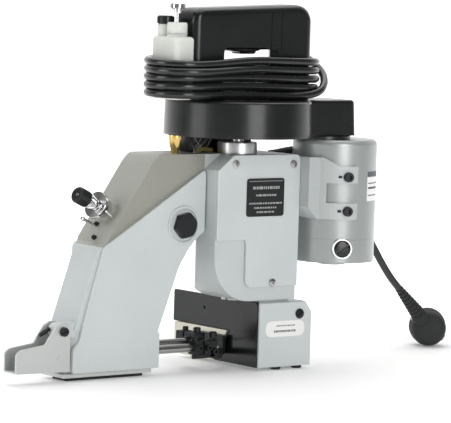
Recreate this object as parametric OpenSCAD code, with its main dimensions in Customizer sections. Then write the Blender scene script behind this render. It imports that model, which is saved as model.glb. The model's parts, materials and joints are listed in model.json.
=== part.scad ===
// Hand-held bag closing sewing machine: casting, drive, needle and looper side, motor, handle and cord.
// Units are millimetres, +Z up, +X from the needle arm towards the motor, -Y is the front.
// The origin is on the resting plane, under the middle of the lower housing.
// Inside seat() the coordinates are the machine's own: the main shaft axis is x = 0, y = 0,
// and the underside of the lower housing is z = 0.

/* [Seat] */
// Height of the rubber feet under the housing
foot_h = 3; // [2:0.5:5]
// Distance from the main shaft axis to the middle of the lower housing
shaft_offset = 45; // [40:1:50]

/* [Body casting] */
// Left face of the upper body
body_left = -40; // [-42:1:-38]
// Right face of the upper body
body_right = 57.5; // [56:0.5:58]
// Front face of the castings of the upper body and lower housing
body_front = -22; // [-23:0.5:-21]
// Rear face of the upper body and the upper arm
body_back = 45; // [42:1:46]
// Underside of the upper body
body_low = 64; // [63:0.5:66]
// Top face of the upper body and the arm
body_top = 202; // [201:0.5:203]
// Thickness of the flat front covers
cover_t = 3; // [2:0.5:3]

/* [Lower housing] */
// Left face of the lower housing casting
low_left = 16; // [16:0.5:17]
// Right face of the lower housing
low_right = 76; // [74:1:80]
// Height of the lower housing
low_top = 62; // [61:0.5:63]
// Rear end of the guide wall
guide_back = 109; // [100:1:115]

/* [Drive] */
// Radius of the main shaft
shaft_r = 6; // [5:0.5:7]
// Radius of the toothed drive pulley
pulley_r = 32; // [28:1:33]
// Radius of the motor pulley
motor_pulley_r = 6; // [5:0.5:6]
// Radius of the motor housing
motor_r = 40.5; // [38:0.5:41]
// Motor axis from the main shaft axis, along x
motor_x = 108; // [107:0.5:109]
// Motor axis from the main shaft axis, along y
motor_y = -14; // [-15:0.5:-13]
// Radius of the round belt cover
cover_r = 70; // [66:1:72]

/* [Handle] */
// Half the width of the handle
grip_half = 17; // [16:0.5:18]
// Underside of the grip
grip_low = 300; // [299:0.5:302]

/* [Cord] */
// Diameter of the mains cord
cord_d = 7.4; // [7:0.1:7.6]
// Radius of the winding's round ends, at the cord's centre
wind_r = 30; // [30:0.5:31]

/* [Hidden] */
$fn = 64;

ground = -foot_h;
wall = 6;
fit = 0.05;
eps = 0.2;

// arm: front face of its casting and of its cover plate
arm_front = -3;
arm_cover_t = 4;
leg_back = 35.5;
// pivot of the needle lever
pivot_x = -66;
pivot_z = 136.5;
// needle bar, presser bar and needle: y and z of their axes
needle_bar_yz = [16, 24];
presser_bar_yz = [5, 19.5];
needle_yz = [36, 20];
// looper shaft: x and y of its axis
looper_xy = [36, 20];
// lifter lever pivot: x and z
lift_x = -199;
lift_z = 44;
// thread tension: foot of the post on the arm's slope, and its tilt from vertical
tension_foot = [-133.4, 20, 149];
tension_tilt = 67;
tension_yaw = 10;
hook_foot = [-141.5, 33, 137];
// belt cover: levels, wall and the box over the motor
cover_low = 219;
cover_top = 253;
cover_wall = 2.5;
box_front = -30;
box_back = 14;
box_right = 121.5;
// handle outline
handle_left = -66;
handle_right = 75;
window_left = -30;
window_right = 20;
// middle of the trigger
trigger_x = 1;
// oil bottle
bottle_x = -78.5;
bottle_low = 253.1;
bottle_top = 311;
neck_y = -5.5;
filler_y = 12.5;
// motor levels
motor_low = 98.7;
motor_top = 215.5;
// winding: centres of its two round ends, and its lowest level
wind_left = -69.5;
wind_right = 53.5;
wind_low = 253.3;
wind_high = 296.5;
// the cord's entry on the back of the handle
gland_z = 303;
gland_end = 55;
// route of the lead from the gland round the right end to the winding
lead_route = [
    [55, 30, 303], [58, 30, 303], [66, 30, 302.5], [74, 28.5, 301], [82, 24.5, 298], [88.5, 17, 294],
    [91.5, 8, 289.5], [92, -2, 284], [90.5, -12, 278], [86, -21, 272], [79, -28.5, 266.5],
    [70.5, -33.5, 262], [60, -34.5, 259]
];
// route of the free tail, from the left end along the back of the winding and down to the plug
tail_route = [
    [-73, 33.8, 292], [-62, 35.2, 290], [-50, 38, 287], [-35, 41, 281.5], [-20, 42.5, 276.5],
    [0, 41.5, 273.5],
    [20, 40, 272.3], [40, 39, 272], [58, 38.5, 272], [70, 38.5, 272], [80, 38.5, 272], [89, 38.6, 270.8],
    [97.4, 38.8, 267.3], [103.8, 39.2, 262.6], [108.6, 40, 257.1], [116.5, 41, 245.7], [125, 42, 233],
    [135, 43, 218.5], [145, 44, 204], [155, 45, 189], [166, 46, 172.5], [177, 47, 156], [188, 47, 139.5],
    [198, 47, 124.5], [207, 47, 111.3], [215.6, 47, 99], [226, 47, 84.7], [238, 47, 70], [250, 47, 58]
];
// plug: centre of its round head and the direction of its pins in plan
plug_at = [291.5, 47, 15.7];
plug_turn = 52;
plug_r = 18.7;

module seat() {
    translate([-shaft_offset, 0, foot_h])
        children();
}

// a flat outline in x and z, standing from y0 to y1
module slab(points, y0, y1) {
    translate([0, y1, 0])
        rotate([90, 0, 0])
            linear_extrude(y1 - y0)
                polygon(points);
}

// a flat outline in y and z, standing from x0 to x1
module side_slab(points, x0, x1) {
    translate([x0, 0, 0])
        rotate([90, 0, 90])
            linear_extrude(x1 - x0)
                polygon(points);
}

// a block between two corners
module block(a, b) {
    translate(a)
        cube(b - a);
}

// a cylinder along x, from x0 to x1
module rod_x(x0, x1, r, yz) {
    translate([x0, yz[0], yz[1]])
        rotate([0, 90, 0])
            cylinder(h = x1 - x0, r = r);
}

// a cylinder along y, from y0 to y1
module rod_y(y0, y1, r, xz) {
    translate([xz[0], y1, xz[1]])
        rotate([90, 0, 0])
            cylinder(h = y1 - y0, r = r);
}

// a cylinder along z, from z0 to z1
module rod_z(z0, z1, r, xy) {
    translate([xy[0], xy[1], z0])
        cylinder(h = z1 - z0, r = r);
}

// points on an arc in a plane, both ends included
function arc(c, r, a0, a1, n = 8) =
    [for (i = [0:n]) c + r * [cos(a0 + (a1 - a0) * i / n), sin(a0 + (a1 - a0) * i / n)]];

// ---- upper body ----

body_curve_r = 42;
body_curve_c = [body_left + body_curve_r, body_low + body_curve_r];

function body_outline(inset) = concat(
    [[body_left + inset, body_top - 2 * inset], [body_right - inset, body_top - 2 * inset]],
    [[body_right - inset, body_low + 1.7 * inset]],
    arc(body_curve_c, body_curve_r - inset * 1.02, 270, 180, 10)
);

module body_casting() {
    color("#b9bdbb")
        seat()
            difference() {
                slab(body_outline(0), body_front, body_back);
                slab(body_outline(wall), body_front + 4, body_back - wall);
                // front opening behind the cover
                slab([[body_left + 9, 131], [body_left + 9, 182], [body_right - 9, 182],
                      [body_right - 9, 84], [4, 84], [4, 131]], body_front - 1, body_front + 5);
                // chamfer on the top left, in front of the arm
                slab([[body_left - 1, 188], [body_left, 188], [-22, body_top], [-22, body_top + 1],
                      [body_left - 1, body_top + 1]], body_front - 1, arm_front);
                // rear left corner cut away beside the throat
                difference() {
                    linear_extrude(131)
                        polygon([[body_left - 1, 7], [body_left, 7], [-12, body_back],
                                 [-12, body_back + 1], [body_left - 1, body_back + 1]]);
                    linear_extrude(131)
                        polygon([[body_left + wall, -30], [body_left + wall, 4.7], [-9, 32],
                                 [20, 32], [20, -30]]);
                }
                // seats of the two main bearings
                rod_z(body_top - 12.5, body_top + 1, 14 + fit, [0, 0]);
                rod_z(body_low - 1, body_low + 11, 11 + fit, [0, 0]);
                // passage of the needle lever
                block([body_left - 1, 4, 136], [body_left + wall + 1, 20, 174]);
                // passage of the looper shaft
                rod_z(body_low - 1, body_low + 12, 5, looper_xy);
                // holes of the cover screws
                for (p = [[-20.3, 193.5], [48.7, 192.7], [27, 81]])
                    rod_y(body_front - 1, body_front + 5.5, 2 + fit, p);
            }
}

function cover_outline() = concat(
    [[body_left, 122.5], [body_left, 188], [-22, body_top], [50, body_top], [body_right, 197]],
    [[body_right, 77]],
    arc([3, 85], 8, 270, 180, 5),
    arc([-9, 118.5], 4, 0, 90, 4)
);

module body_front_cover() {
    color("#cdd0cf")
        seat()
            difference() {
                slab(cover_outline(), body_front - cover_t, body_front);
                for (p = [[-20.3, 193.5], [48.7, 192.7], [27, 81]])
                    rod_y(body_front - cover_t - 1, body_front + 1, 2 + 2 * fit, p);
            }
}

module cover_screw(x, z, front, head_r) {
    rod_y(front - 2.2, front, head_r, [x, z]);
    rod_y(front - 0.5, front + cover_t + 5, 2, [x, z]);
}

module cover_screws() {
    color("#8f9393")
        seat() {
            cover_screw(-20.3, 193.5, body_front - cover_t, 4);
            cover_screw(48.7, 192.7, body_front - cover_t, 4);
            cover_screw(27, 81, body_front - cover_t, 4);
            cover_screw(61.5, 50, body_front - cover_t, 4.8);
        }
}

module nameplate() {
    color("#1c1f20")
        seat()
            slab(concat(
                arc([-3.8, 147], 3, 180, 270, 4), arc([34.7, 147], 3, 270, 360, 4),
                arc([34.7, 176.8], 3, 0, 90, 4), arc([-3.8, 176.8], 3, 90, 180, 4)
            ), body_front - cover_t - 1, body_front - cover_t);
}

module bearing_cap() {
    color("#b4b7b8")
        seat()
            translate([0, 0, body_top])
                difference() {
                    cylinder(h = 11, r = 18.8);
                    translate([0, 0, -1])
                        cylinder(h = 13, r = shaft_r + 1);
                }
}

module main_bearings() {
    color("#c9cbcc")
        seat() {
            difference() {
                rod_z(body_top - 12, body_top, 14, [0, 0]);
                rod_z(body_top - 13, body_top + 1, shaft_r + fit, [0, 0]);
            }
            difference() {
                rod_z(body_low, body_low + 10, 11, [0, 0]);
                rod_z(body_low - 1, body_low + 11, shaft_r + fit, [0, 0]);
            }
        }
}

module cover_bracket() {
    color("#1f2122")
        seat()
            slab([[-41, body_top], [31, body_top], [34, cover_low], [-47, cover_low]], 20, 36);
}

// ---- arm ----

function arm_outline() = concat(
    [[body_left, body_top], [body_left, 131], [-50, 124]],
    [[-60, 112.5], [-69.5, 98], [-92, 40], [-90, 36], [-90, 4.4], [-190, 4.4], [-190, 30]],
    [[-185, 41], [-161, 112], [-157.5, 118], [-151, 121]],
    arc([-91.5, 191], 11, 142, 90, 4)
);

function arm_hollow() = [
    [body_left - wall, body_top - wall], [body_left - wall, 134.5], [-54, 128], [-66, 115], [-76, 99],
    [-97, 38], [-97, 11], [-183.5, 11], [-183.5, 30], [-178, 42], [-154, 110], [-146, 117.5],
    [-96, 193], [-91, body_top - wall]
];

module arm_casting() {
    color("#a3a39a")
        seat()
            difference() {
                union() {
                    slab(arm_outline(), arm_front, leg_back);
                    // the upper arm is deeper than the leg
                    intersection() {
                        slab(arm_outline(), leg_back - 1, body_back);
                        side_slab([[leg_back - 1, 110], [leg_back, 110], [body_back, 124],
                                   [body_back, 210], [leg_back - 1, 210]], -200, 0);
                    }
                    // lug for the lifter lever
                    rod_y(-2, 8, 7, [lift_x, lift_z]);
                    block([lift_x, -2, lift_z - 7], [-182, 8, lift_z + 7]);
                    // boss of the thread tension
                    translate(tension_foot)
                        rotate([0, -tension_tilt, tension_yaw])
                            translate([0, 0, -5])
                                cylinder(h = 11, r = 11);
                }
                slab(arm_hollow(), arm_front - 1, leg_back - wall);
                rod_y(-3, 9, 3 + fit, [lift_x, lift_z]);
                // passage of the needle lever
                block([body_left - wall - 1, 4, 136], [body_left + 1, 20, 174]);
                // back bearing of the pivot bolt
                rod_y(leg_back - wall - 1, leg_back + 1, 5 + fit, [pivot_x, pivot_z]);
                // seats of the bar bushes
                rod_x(-98, -89, 5.4 + fit, needle_bar_yz);
                rod_x(-98, -89, 5.8 + fit, presser_bar_yz);
                // tail hole of the presser bar
                rod_x(-191, -183, 4 + fit, presser_bar_yz);
                // seat of the tension post
                translate(tension_foot)
                    rotate([0, -tension_tilt, tension_yaw])
                        translate([0, 0, -2])
                            cylinder(h = 20, r = 2.5 + fit);
                // seat of the oil fitting
                rod_z(body_top - 4, body_top + 1, 3 + fit, [-64, 12]);
                // seat of the thread hook
                translate(hook_foot)
                    rotate([0, -tension_tilt, 0])
                        translate([0, 0, -2])
                            cylinder(h = 20, r = 1.6 + fit);
            }
}

function arm_cover_outline() = concat(
    [[-41, 188.5], [-152.5, 119.8], [-155.5, 117], [-180.5, 34], [-187, 26], [-187.5, 4.6]],
    [[-90, 4.6], [-90, 36], [-92.2, 39], [-69.5, 98], [-60, 112.5], [-51, 123], [-41, 130.2]]
);

module arm_front_cover() {
    color("#c9cdcc")
        seat()
            difference() {
                union() {
                    slab(arm_cover_outline(), arm_front - arm_cover_t, arm_front);
                    rod_y(arm_front - arm_cover_t - 2, arm_front - 1, 17, [pivot_x, pivot_z]);
                }
                rod_y(arm_front - 10, arm_front + 1, 5 + 2 * fit, [pivot_x, pivot_z]);
            }
}

module arm_pivot_bolt() {
    head = arm_front - arm_cover_t - 2;
    color("#222526")
        seat() {
            translate([pivot_x, head, pivot_z])
                rotate([90, 15, 0])
                    cylinder(h = 8, r = 12.7, $fn = 6);
            rod_y(head - 1, leg_back - 1, 5, [pivot_x, pivot_z]);
        }
}

module rubber_feet() {
    color("#191a1a")
        seat() {
            for (p = [[40.5, -17], [66, -17], [24, 84], [54, 84]])
                rod_z(ground, 0, 5, p);
            // pad under the middle of the lower housing
            rod_z(ground, 0, 8, [shaft_offset, 0]);
            // strip under the arm's base plate
            block([-188, 2, ground], [-102, 24, 0.6]);
        }
}

module arm_base_plate() {
    color("#b9bbba")
        seat()
            block([-196, -5, 0.6], [-97, 30, 4.4]);
}

module bar_bushes() {
    color("#9a9c9c")
        seat() {
            difference() {
                rod_x(-104, -86, 5.4, needle_bar_yz);
                rod_x(-105, -85, 3.5 + fit, needle_bar_yz);
            }
            difference() {
                rod_x(-104, -86, 5.8, presser_bar_yz);
                rod_x(-105, -85, 4 + fit, presser_bar_yz);
            }
        }
}

// ---- lower housing ----

module lower_housing() {
    color("#b4b8b7")
        seat()
            difference() {
                union() {
                    slab([[low_left, 0], [low_right, 0], [low_right, 52], [68.5, low_top],
                          [low_left, low_top]],
                         body_front, body_back);
                    block([low_left, body_back - 1, 0], [62, 95, 50]);
                    // neck under the upper body
                    block([low_left + 2, body_front + 3, low_top - 1], [52, 30, body_low]);
                }
                block([low_left + 4, body_front - 1, wall], [low_right - 6, body_back - 6, low_top - 10]);
                block([low_left + 4, body_back - 8, wall], [56, 89, 44]);
                // opening behind the throat plate
                block([low_left - 1, 18, 10], [low_left + 5, 66, 30]);
                // bearing of the looper shaft
                rod_z(low_top - 12, body_low + 1, 4 + fit, looper_xy);
                // hole of the cover screw
                rod_y(body_front - 1, body_front + 5.5, 2 + fit, [61.5, 50]);
            }
}

module lower_front_cover() {
    color("#cdd0cf")
        seat()
            difference() {
                slab([[13.8, 0.2], [76.6, 0.2], [76.6, 51.5], [69, 61.5], [13.8, 61.5]],
                     body_front - cover_t, body_front);
                rod_y(body_front - cover_t - 1, body_front + 1, 2 + 2 * fit, [61.5, 50]);
            }
}

module throat_side_cover() {
    color("#232628")
        seat()
            difference() {
                side_slab(concat(
                    [[body_front, 0.2], [43, 0.2], [20, 31.3], [guide_back, 31.3], [guide_back, 62]],
                    arc([body_front + 4, 58], 4, 90, 180, 4)
                ), 13, low_left);
                rod_x(12, low_left + 1, 1.6, [60, 49]);
            }
}

module throat_plate() {
    color("#d9d8cc")
        seat()
            difference() {
                side_slab(concat(
                    [[44.2, 0.2], [21.2, 31.1]],
                    [[104, 31.1], [104, 20]],
                    arc([90, 14.2], 14, 0, -90, 5)
                ), 11, low_left);
                rod_x(10, low_left + 1, 1.6, needle_yz);
                block([10, 43, 15], [low_left + 1, 66, 19]);
            }
}

module feed_dog() {
    color("#c4c6c6")
        seat() {
            block([11.5, 44, 15.3], [26, 60, 18.7]);
            for (y = [44.5:2.4:59])
                side_slab([[y, 15.5], [y + 1.6, 15.5], [y + 1.6, 18.5], [y, 18.5]], 10.4, 11.6);
        }
}

module looper() {
    color("#bfc2c3")
        seat() {
            rod_z(12, 100, 4, looper_xy);
            rod_z(22, 34, 7, looper_xy);
            // hooked arm that passes the needle
            linear_extrude_at(24, 28)
                polygon([[36, 16], [32, 24], [24, 31], [24.5, 40], [21.5, 40], [20.5, 30], [28, 21],
                         [33, 14]]);
            // crank at the top
            linear_extrude_at(90, 96)
                polygon([[32, 20], [40, 20], [38.5, -6], [33.5, -6]]);
        }
}

module linear_extrude_at(z0, z1) {
    translate([0, 0, z0])
        linear_extrude(z1 - z0)
            children();
}

// ---- needle and presser ----

lever_rest = 44;

module needle_lever() {
    color("#8d9091")
        seat()
            translate([pivot_x, 0, pivot_z])
                difference() {
                    union() {
                        rod_y(4.5, 14, 10, [0, 0]);
                        rotate([0, lever_rest, 0])
                            slab([[-8, 0], [8, 0], [5, -104], [0, -110], [-5, -104]], 4.5, 10);
                        slab([[0, -8], [40, 9.5], [42, 13.5], [40, 17.5], [0, 9]], 4.5, 12);
                    }
                    rod_y(3, 15, 5 + fit, [0, 0]);
                }
}

module needle_bar() {
    color("#d0d2d3")
        seat() {
            rod_x(-168, -22, 3.5, needle_bar_yz);
            difference() {
                block([-150, 11, 19], [-138, 20, 44]);
                rod_x(-151, -137, 3.4, needle_bar_yz);
            }
        }
}

module needle_clamp() {
    color("#26292a")
        seat()
            difference() {
                union() {
                    block([-36, 10.5, 17], [-23.5, 40, 32]);
                    rod_z(31, 37, 3.6, [-29, 16]);
                    rod_z(31, 36, 2.8, [-29, 34]);
                }
                rod_x(-37, -21, 3.5 + fit, needle_bar_yz);
                rod_x(-37, -21, 1.5 + fit, needle_yz);
            }
}

module needle() {
    color("#d8dadb")
        seat() {
            rod_x(-35, -14, 1.5, needle_yz);
            rod_x(-14.5, 2, 1, needle_yz);
            translate([2, needle_yz[0], needle_yz[1]])
                rotate([0, 90, 0])
                    cylinder(h = 5, r1 = 1, r2 = 0.15);
        }
}

module presser_bar() {
    color("#c9cbcc")
        seat() {
            rod_x(-194, -14, 4, presser_bar_yz);
            difference() {
                block([-210, 2, 12], [-193, 8, 29]);
                block([-206, 1, 15], [-200, 9, 25.5]);
            }
        }
}

module presser_foot() {
    color("#232627")
        seat() {
            difference() {
                union() {
                    block([-26, -1.5, 8], [-12, 10, 28]);
                    rod_z(27, 35, 3.8, [-19, 4.5]);
                    slab_z([[-20, -1.5], [-12, -1.5], [8, 22], [8, 34], [-20, 10]], 8, 13.5);
                }
                rod_x(-27, -11, 4 + fit, presser_bar_yz);
            }
            difference() {
                side_slab(concat([[22, 8]], arc([62, 14], 6, -90, 0, 4), arc([62, 20], 6, 0, 90, 4),
                                  [[22, 26]]),
                          7, 10);
                rod_x(6, 11, 2.6, needle_yz);
            }
        }
}

module slab_z(points, z0, z1) {
    translate([0, 0, z0])
        linear_extrude(z1 - z0)
            polygon(points);
}

function flange_outline() = concat(
    [[-250, 8]],
    arc([-244, 24], 6, 180, 100, 4),
    [[-208, 31.5]],
    arc([lift_x, lift_z], 8, 190, -10, 8),
    [[-191.5, 33], [-190.8, 7]]
);

module lifter_lever() {
    color("#c3c6c5")
        seat() {
            difference() {
                union() {
                    slab(flange_outline(), -8, -6);
                    slab(flange_outline(), 10, 12);
                    block([-249, -7, 8], [-216, 11, 10]);
                }
                rod_y(-9, 13, 3 + fit, [lift_x, lift_z]);
            }
            // cross pin in the slot of the presser bar
            rod_y(-6.5, 10.5, 2, [-203, 19.5]);
        }
}

module lever_pivot_screw() {
    color("#1d1f20")
        seat() {
            rod_y(-12, -8.1, 4.2, [lift_x, lift_z]);
            rod_y(-9, 14, 3, [lift_x, lift_z]);
            rod_y(12.1, 15, 5, [lift_x, lift_z]);
        }
}

// ---- thread tension ----

module on_post() {
    translate(tension_foot)
        rotate([0, -tension_tilt, tension_yaw])
            children();
}

module tension_post() {
    color("#d6d8d9")
        seat()
            on_post()
                translate([0, 0, -1])
                    cylinder(h = 45, r = 2.5);
}

module thread_hook() {
    color("#d6d8d9")
        seat()
            translate(hook_foot)
                rotate([0, -tension_tilt, 0]) {
                    rod_z(-1.5, 11, 1.6, [0, 0]);
                    translate([0, 0, 11.5])
                        sphere(r = 2.3);
                }
}

module ring_piece(z0, z1, r_out, r_in) {
    difference() {
        rod_z(z0, z1, r_out, [0, 0]);
        rod_z(z0 - 1, z1 + 1, r_in, [0, 0]);
    }
}

module tension_discs() {
    color("#e2e4e5")
        seat()
            on_post() {
                ring_piece(15, 16.2, 12.5, 2.5 + fit);
                ring_piece(16.2, 17.4, 13, 2.5 + fit);
                ring_piece(17.4, 18.6, 8, 2.5 + fit);
                ring_piece(18.6, 29.8, 5.6, 3.6);
            }
}

module tension_knob() {
    color("#202223")
        seat()
            on_post()
                difference() {
                    union() {
                        rod_z(30.2, 44.5, 7.2, [0, 0]);
                        for (i = [0:17])
                            rotate([0, 0, 20 * i])
                                block([6.5, -0.6, 31.5], [7.9, 0.6, 43.5]);
                    }
                    rod_z(29, 46, 2.5 + fit, [0, 0]);
                }
}

// ---- drive ----

module main_shaft() {
    color("#c8cacb")
        seat() {
            rod_z(body_low + 1, 246, shaft_r, [0, 0]);
            // eccentric that rocks the needle lever
            rod_z(140, 156, 12, [3, 0]);
            rod_z(176, 186, 10, [0, 0]);
        }
}

module drive_pulley() {
    color("#3a3d3e")
        seat()
            difference() {
                union() {
                    rod_z(226, 228, pulley_r + 2, [0, 0]);
                    rod_z(227, 241, pulley_r, [0, 0]);
                    rod_z(240, 242, pulley_r + 2, [0, 0]);
                }
                rod_z(225, 243, shaft_r + fit / 5, [0, 0]);
                for (i = [0:4])
                    rotate([0, 0, 72 * i])
                        rod_z(225, 243, 7, [19, 0]);
            }
}

module motor_pulley() {
    color("#b8babb")
        seat()
            difference() {
                union() {
                    rod_z(228.2, 239.8, motor_pulley_r, [motor_x, motor_y]);
                    rod_z(239.5, 241, motor_pulley_r + 1, [motor_x, motor_y]);
                }
                rod_z(227, 242, 3 + fit / 5, [motor_x, motor_y]);
            }
}

module belt_loop(grow) {
    hull() {
        circle(r = pulley_r + grow);
        translate([motor_x, motor_y])
            circle(r = motor_pulley_r + grow);
    }
}

module timing_belt() {
    color("#151616")
        seat()
            linear_extrude_at(228.6, 239.2)
                difference() {
                    belt_loop(1.3);
                    belt_loop(0.15);
                }
}

module motor_armature() {
    color("#9b6a3c")
        seat() {
            rod_z(104, 243, 3, [motor_x, motor_y]);
            rod_z(128, 178, 19, [motor_x, motor_y]);
            rod_z(108, 122, 11, [motor_x, motor_y]);
        }
}

module motor_stator() {
    color("#7c7f80")
        seat()
            difference() {
                rod_z(126, 180, motor_r - 3.05, [motor_x, motor_y]);
                rod_z(125, 181, 20.5, [motor_x, motor_y]);
            }
}

brush_angle = -116;

module motor_housing() {
    color("#c4c7c8")
        seat()
            difference() {
                rod_z(motor_low, motor_top, motor_r, [motor_x, motor_y]);
                rod_z(motor_low - 1, motor_top - 6, motor_r - 3, [motor_x, motor_y]);
                rod_z(motor_top - 7, motor_top + 1, 3 + 2 * fit, [motor_x, motor_y]);
                translate([motor_x, motor_y, 113])
                    rotate([0, 0, brush_angle])
                        rod_x(-50, 50, 8.2 + fit, [0, 0]);
            }
}

module motor_end_cap() {
    color("#c4c7c8")
        seat()
            difference() {
                union() {
                    rod_z(motor_low, motor_low + 4, motor_r - 3 - fit, [motor_x, motor_y]);
                    rod_z(motor_low - 4, motor_low + 1, 14.5, [motor_x, motor_y]);
                }
                rod_z(motor_low + 1, motor_low + 6, 3 + 2 * fit, [motor_x, motor_y]);
            }
}

module brush_caps() {
    color("#202223")
        seat()
            translate([motor_x, motor_y, 113])
                rotate([0, 0, brush_angle])
                    for (turn = [0, 180])
                        rotate([0, 0, turn])
                            rod_x(22, motor_r + 3.5, 8.2, [0, 0]);
}

clamp_r = 44;
clamp_outline = [
    [body_right + 0.1, 152], [68, 141], [125, 141], [125, 191.5], [84, 191.5], [73, 199.3],
    [body_right + 0.1, 199.5]
];

module motor_clamp() {
    color("#bfc2c2")
        seat()
            difference() {
                intersection() {
                    slab(clamp_outline, -80, 8);
                    union() {
                        // strap round the front of the motor, ending at an angle
                        linear_extrude_at(140, 200)
                            intersection() {
                                translate([motor_x, motor_y])
                                    circle(r = clamp_r);
                                translate([motor_x, motor_y])
                                    polygon([[0, 0], [-12, -80], [-90, -80], [-90, 30], [-60, 30]]);
                            }
                        block([body_right + 0.1, -38, 140], [86, 8, 200]);
                    }
                }
                rod_z(140, 201, motor_r + fit, [motor_x, motor_y]);
                // window between the two straps
                block([75, -80, 156.5], [125, -30, 175.5]);
            }
}

clamp_angle = -112;

module clamp_screws() {
    color("#1b1d1e")
        seat()
            for (z = [149, 181.5])
                translate([motor_x, motor_y, z])
                    rotate([0, 0, clamp_angle])
                        rod_x(clamp_r + 0.1, clamp_r + 5, 4.6, [0, 0]);
}

module motor_lead() {
    color("#1a1b1c")
        seat()
            difference() {
                union() {
                    rod_x(body_right + 0.1, 78, 3.6, [24, 199]);
                    translate([68, 24, 199])
                        rotate([0, 90, 0])
                            cylinder(h = 24, r1 = 3.6, r2 = 6.5);
                }
                rod_z(140, 212, motor_r + fit, [motor_x, motor_y]);
                block([50, -40, 190], [body_right + 0.1, 40, 210]);
            }
}

// ---- belt cover ----

module cover_plan(inset) {
    circle(r = cover_r - inset);
    translate([0, box_front + inset])
        square([box_right - inset, box_back - box_front - 2 * inset]);
}

module belt_cover_base() {
    color("#1e2021")
        seat()
            difference() {
                union() {
                    linear_extrude_at(cover_low, cover_low + cover_wall)
                        cover_plan(0);
                    // spacer on top of the motor
                    rod_z(motor_top + 0.1, cover_low + 1, 26, [motor_x - 15, motor_y]);
                }
                rod_z(cover_low - 1, cover_low + 4, shaft_r + 2, [0, 0]);
                rod_z(motor_top - 1, cover_low + 4, 6, [motor_x, motor_y]);
            }
}

module belt_cover() {
    color("#222527")
        seat()
            difference() {
                linear_extrude_at(cover_low + cover_wall, cover_top)
                    cover_plan(0);
                linear_extrude_at(cover_low, cover_top - cover_wall)
                    cover_plan(cover_wall);
            }
}

module oil_fitting() {
    color("#c79a4a")
        seat() {
            rod_z(body_top - 4, body_top + 1, 3, [-64, 12]);
            translate([-64, 12, body_top])
                cylinder(h = 8, r1 = 4.2, r2 = 6.5);
            rod_z(body_top + 7.9, cover_low, 6.5, [-64, 12]);
        }
}

module oil_tubes() {
    color("#d5d8cf")
        seat()
            for (x = [-38, -32, -14])
                translate([x, 16, body_top])
                    rotate([0, x < -20 ? -32 : 0, 0])
                        translate([0, 0, 0.6])
                            cylinder(h = x < -20 ? 18 : 16, r = 1);
}

// ---- handle ----

function handle_outline() = concat(
    [[handle_left, cover_top], [handle_right + 1, cover_top], [handle_right, 325]],
    arc([handle_right - 18, 324.3], 18, 3, 88, 6),
    arc([handle_left + 12, 325.4], 12, 92, 180, 5)
);

function window_outline() = concat(
    arc([window_left + 4, 262], 4, 180, 270, 4), arc([window_right - 4, 262], 4, 270, 360, 4),
    [[window_right, grip_low], [window_left, grip_low]]
);

// the handle seen from above, rounded where the cord goes round it
function handle_plan() = concat(
    [[handle_left, grip_half], [handle_left, -grip_half]],
    arc([handle_right - 9, 10 - grip_half], 10, 270, 360, 6),
    arc([handle_right - 9, grip_half - 10], 10, 0, 90, 6)
);

module handle_half(y0, y1) {
    difference() {
        intersection() {
            slab(handle_outline(), y0, y1);
            slab_z(handle_plan(), cover_top - 1, 340);
        }
        slab(window_outline(), -30, 30);
        // the right leg is narrower at the back
        slab_z([[0, -grip_half - 0.1], [window_right + 2, -grip_half - 0.1], [48, grip_half + 0.1],
                [0, grip_half + 0.1]], 258, grip_low);
        // hollow of the grip and of the two legs
        slab([[-58, 304], [62, 304], [62, 331], [-58, 330]], -14, 14);
        slab([[-60, 258], [-37, 258], [-37, 305], [-60, 305]], -14, 14);
        slab_z([[30, -14], [65, -14], [65, 14], [52, 14]], 258, 305);
        // mouth of the trigger
        block([trigger_x - 20.5, -8, 299], [trigger_x + 20.5, 8, 305]);
    }
}

module handle_front_shell() {
    color("#222425")
        seat()
            handle_half(-grip_half, 0);
}

module handle_rear_shell() {
    color("#222425")
        seat()
            handle_half(0, grip_half);
}

module trigger() {
    color("#2c2f30")
        seat() {
            translate([trigger_x, 0, 0]) {
                slab(concat(arc([0, 325], 28, 315, 225, 8), [[-20, 304.5], [20, 304.5]]), -7.5, 7.5);
                block([-23, -10, 304.3], [23, 10, 306.5]);
                block([-4, -4, 306], [4, 4, 311]);
            }
        }
}

// ---- oil bottle ----

module bottle_solid(grow, z0, z1) {
    x0 = bottle_x - 11 + 5;
    x1 = bottle_x + 11 - 5;
    linear_extrude_at(z0, z1)
        union() {
            translate([x0 - 5 - grow, -15])
                square([22 + 2 * grow, 30]);
            translate([x0, -20 - grow])
                square([12, 40 + 2 * grow]);
            for (x = [x0, x1])
                for (y = [-15, 15])
                    translate([x, y])
                        circle(r = 5 + grow);
        }
}

module oil_bottle() {
    color("#e4e5e0")
        seat()
            difference() {
                union() {
                    bottle_solid(0, bottle_low, bottle_top);
                    rod_z(bottle_top - 1, 324, 9.4, [bottle_x, neck_y]);
                    rod_z(bottle_top - 1, 322, 7.2, [bottle_x, filler_y]);
                }
                bottle_solid(-1.6, bottle_low + 1.6, bottle_top - 1.6);
                rod_z(bottle_top - 5, 320, 7.4, [bottle_x, neck_y]);
                rod_z(319, 325, 1.6 + fit, [bottle_x, neck_y]);
                rod_z(bottle_top - 5, 323, 5.6, [bottle_x, filler_y]);
            }
}

module bottle_bracket() {
    color("#303334")
        seat()
            block([bottle_x + 11.05, -14, 254], [handle_left - 0.05, 14, 304]);
}

module filler_cap() {
    color("#1b1d1e")
        seat() {
            rod_z(322.1, 330, 7.5, [bottle_x, filler_y]);
            for (i = [0:11])
                translate([bottle_x, filler_y, 0])
                    rotate([0, 0, 30 * i])
                        block([7, -0.9, 323], [8.1, 0.9, 329.2]);
        }
}

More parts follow.
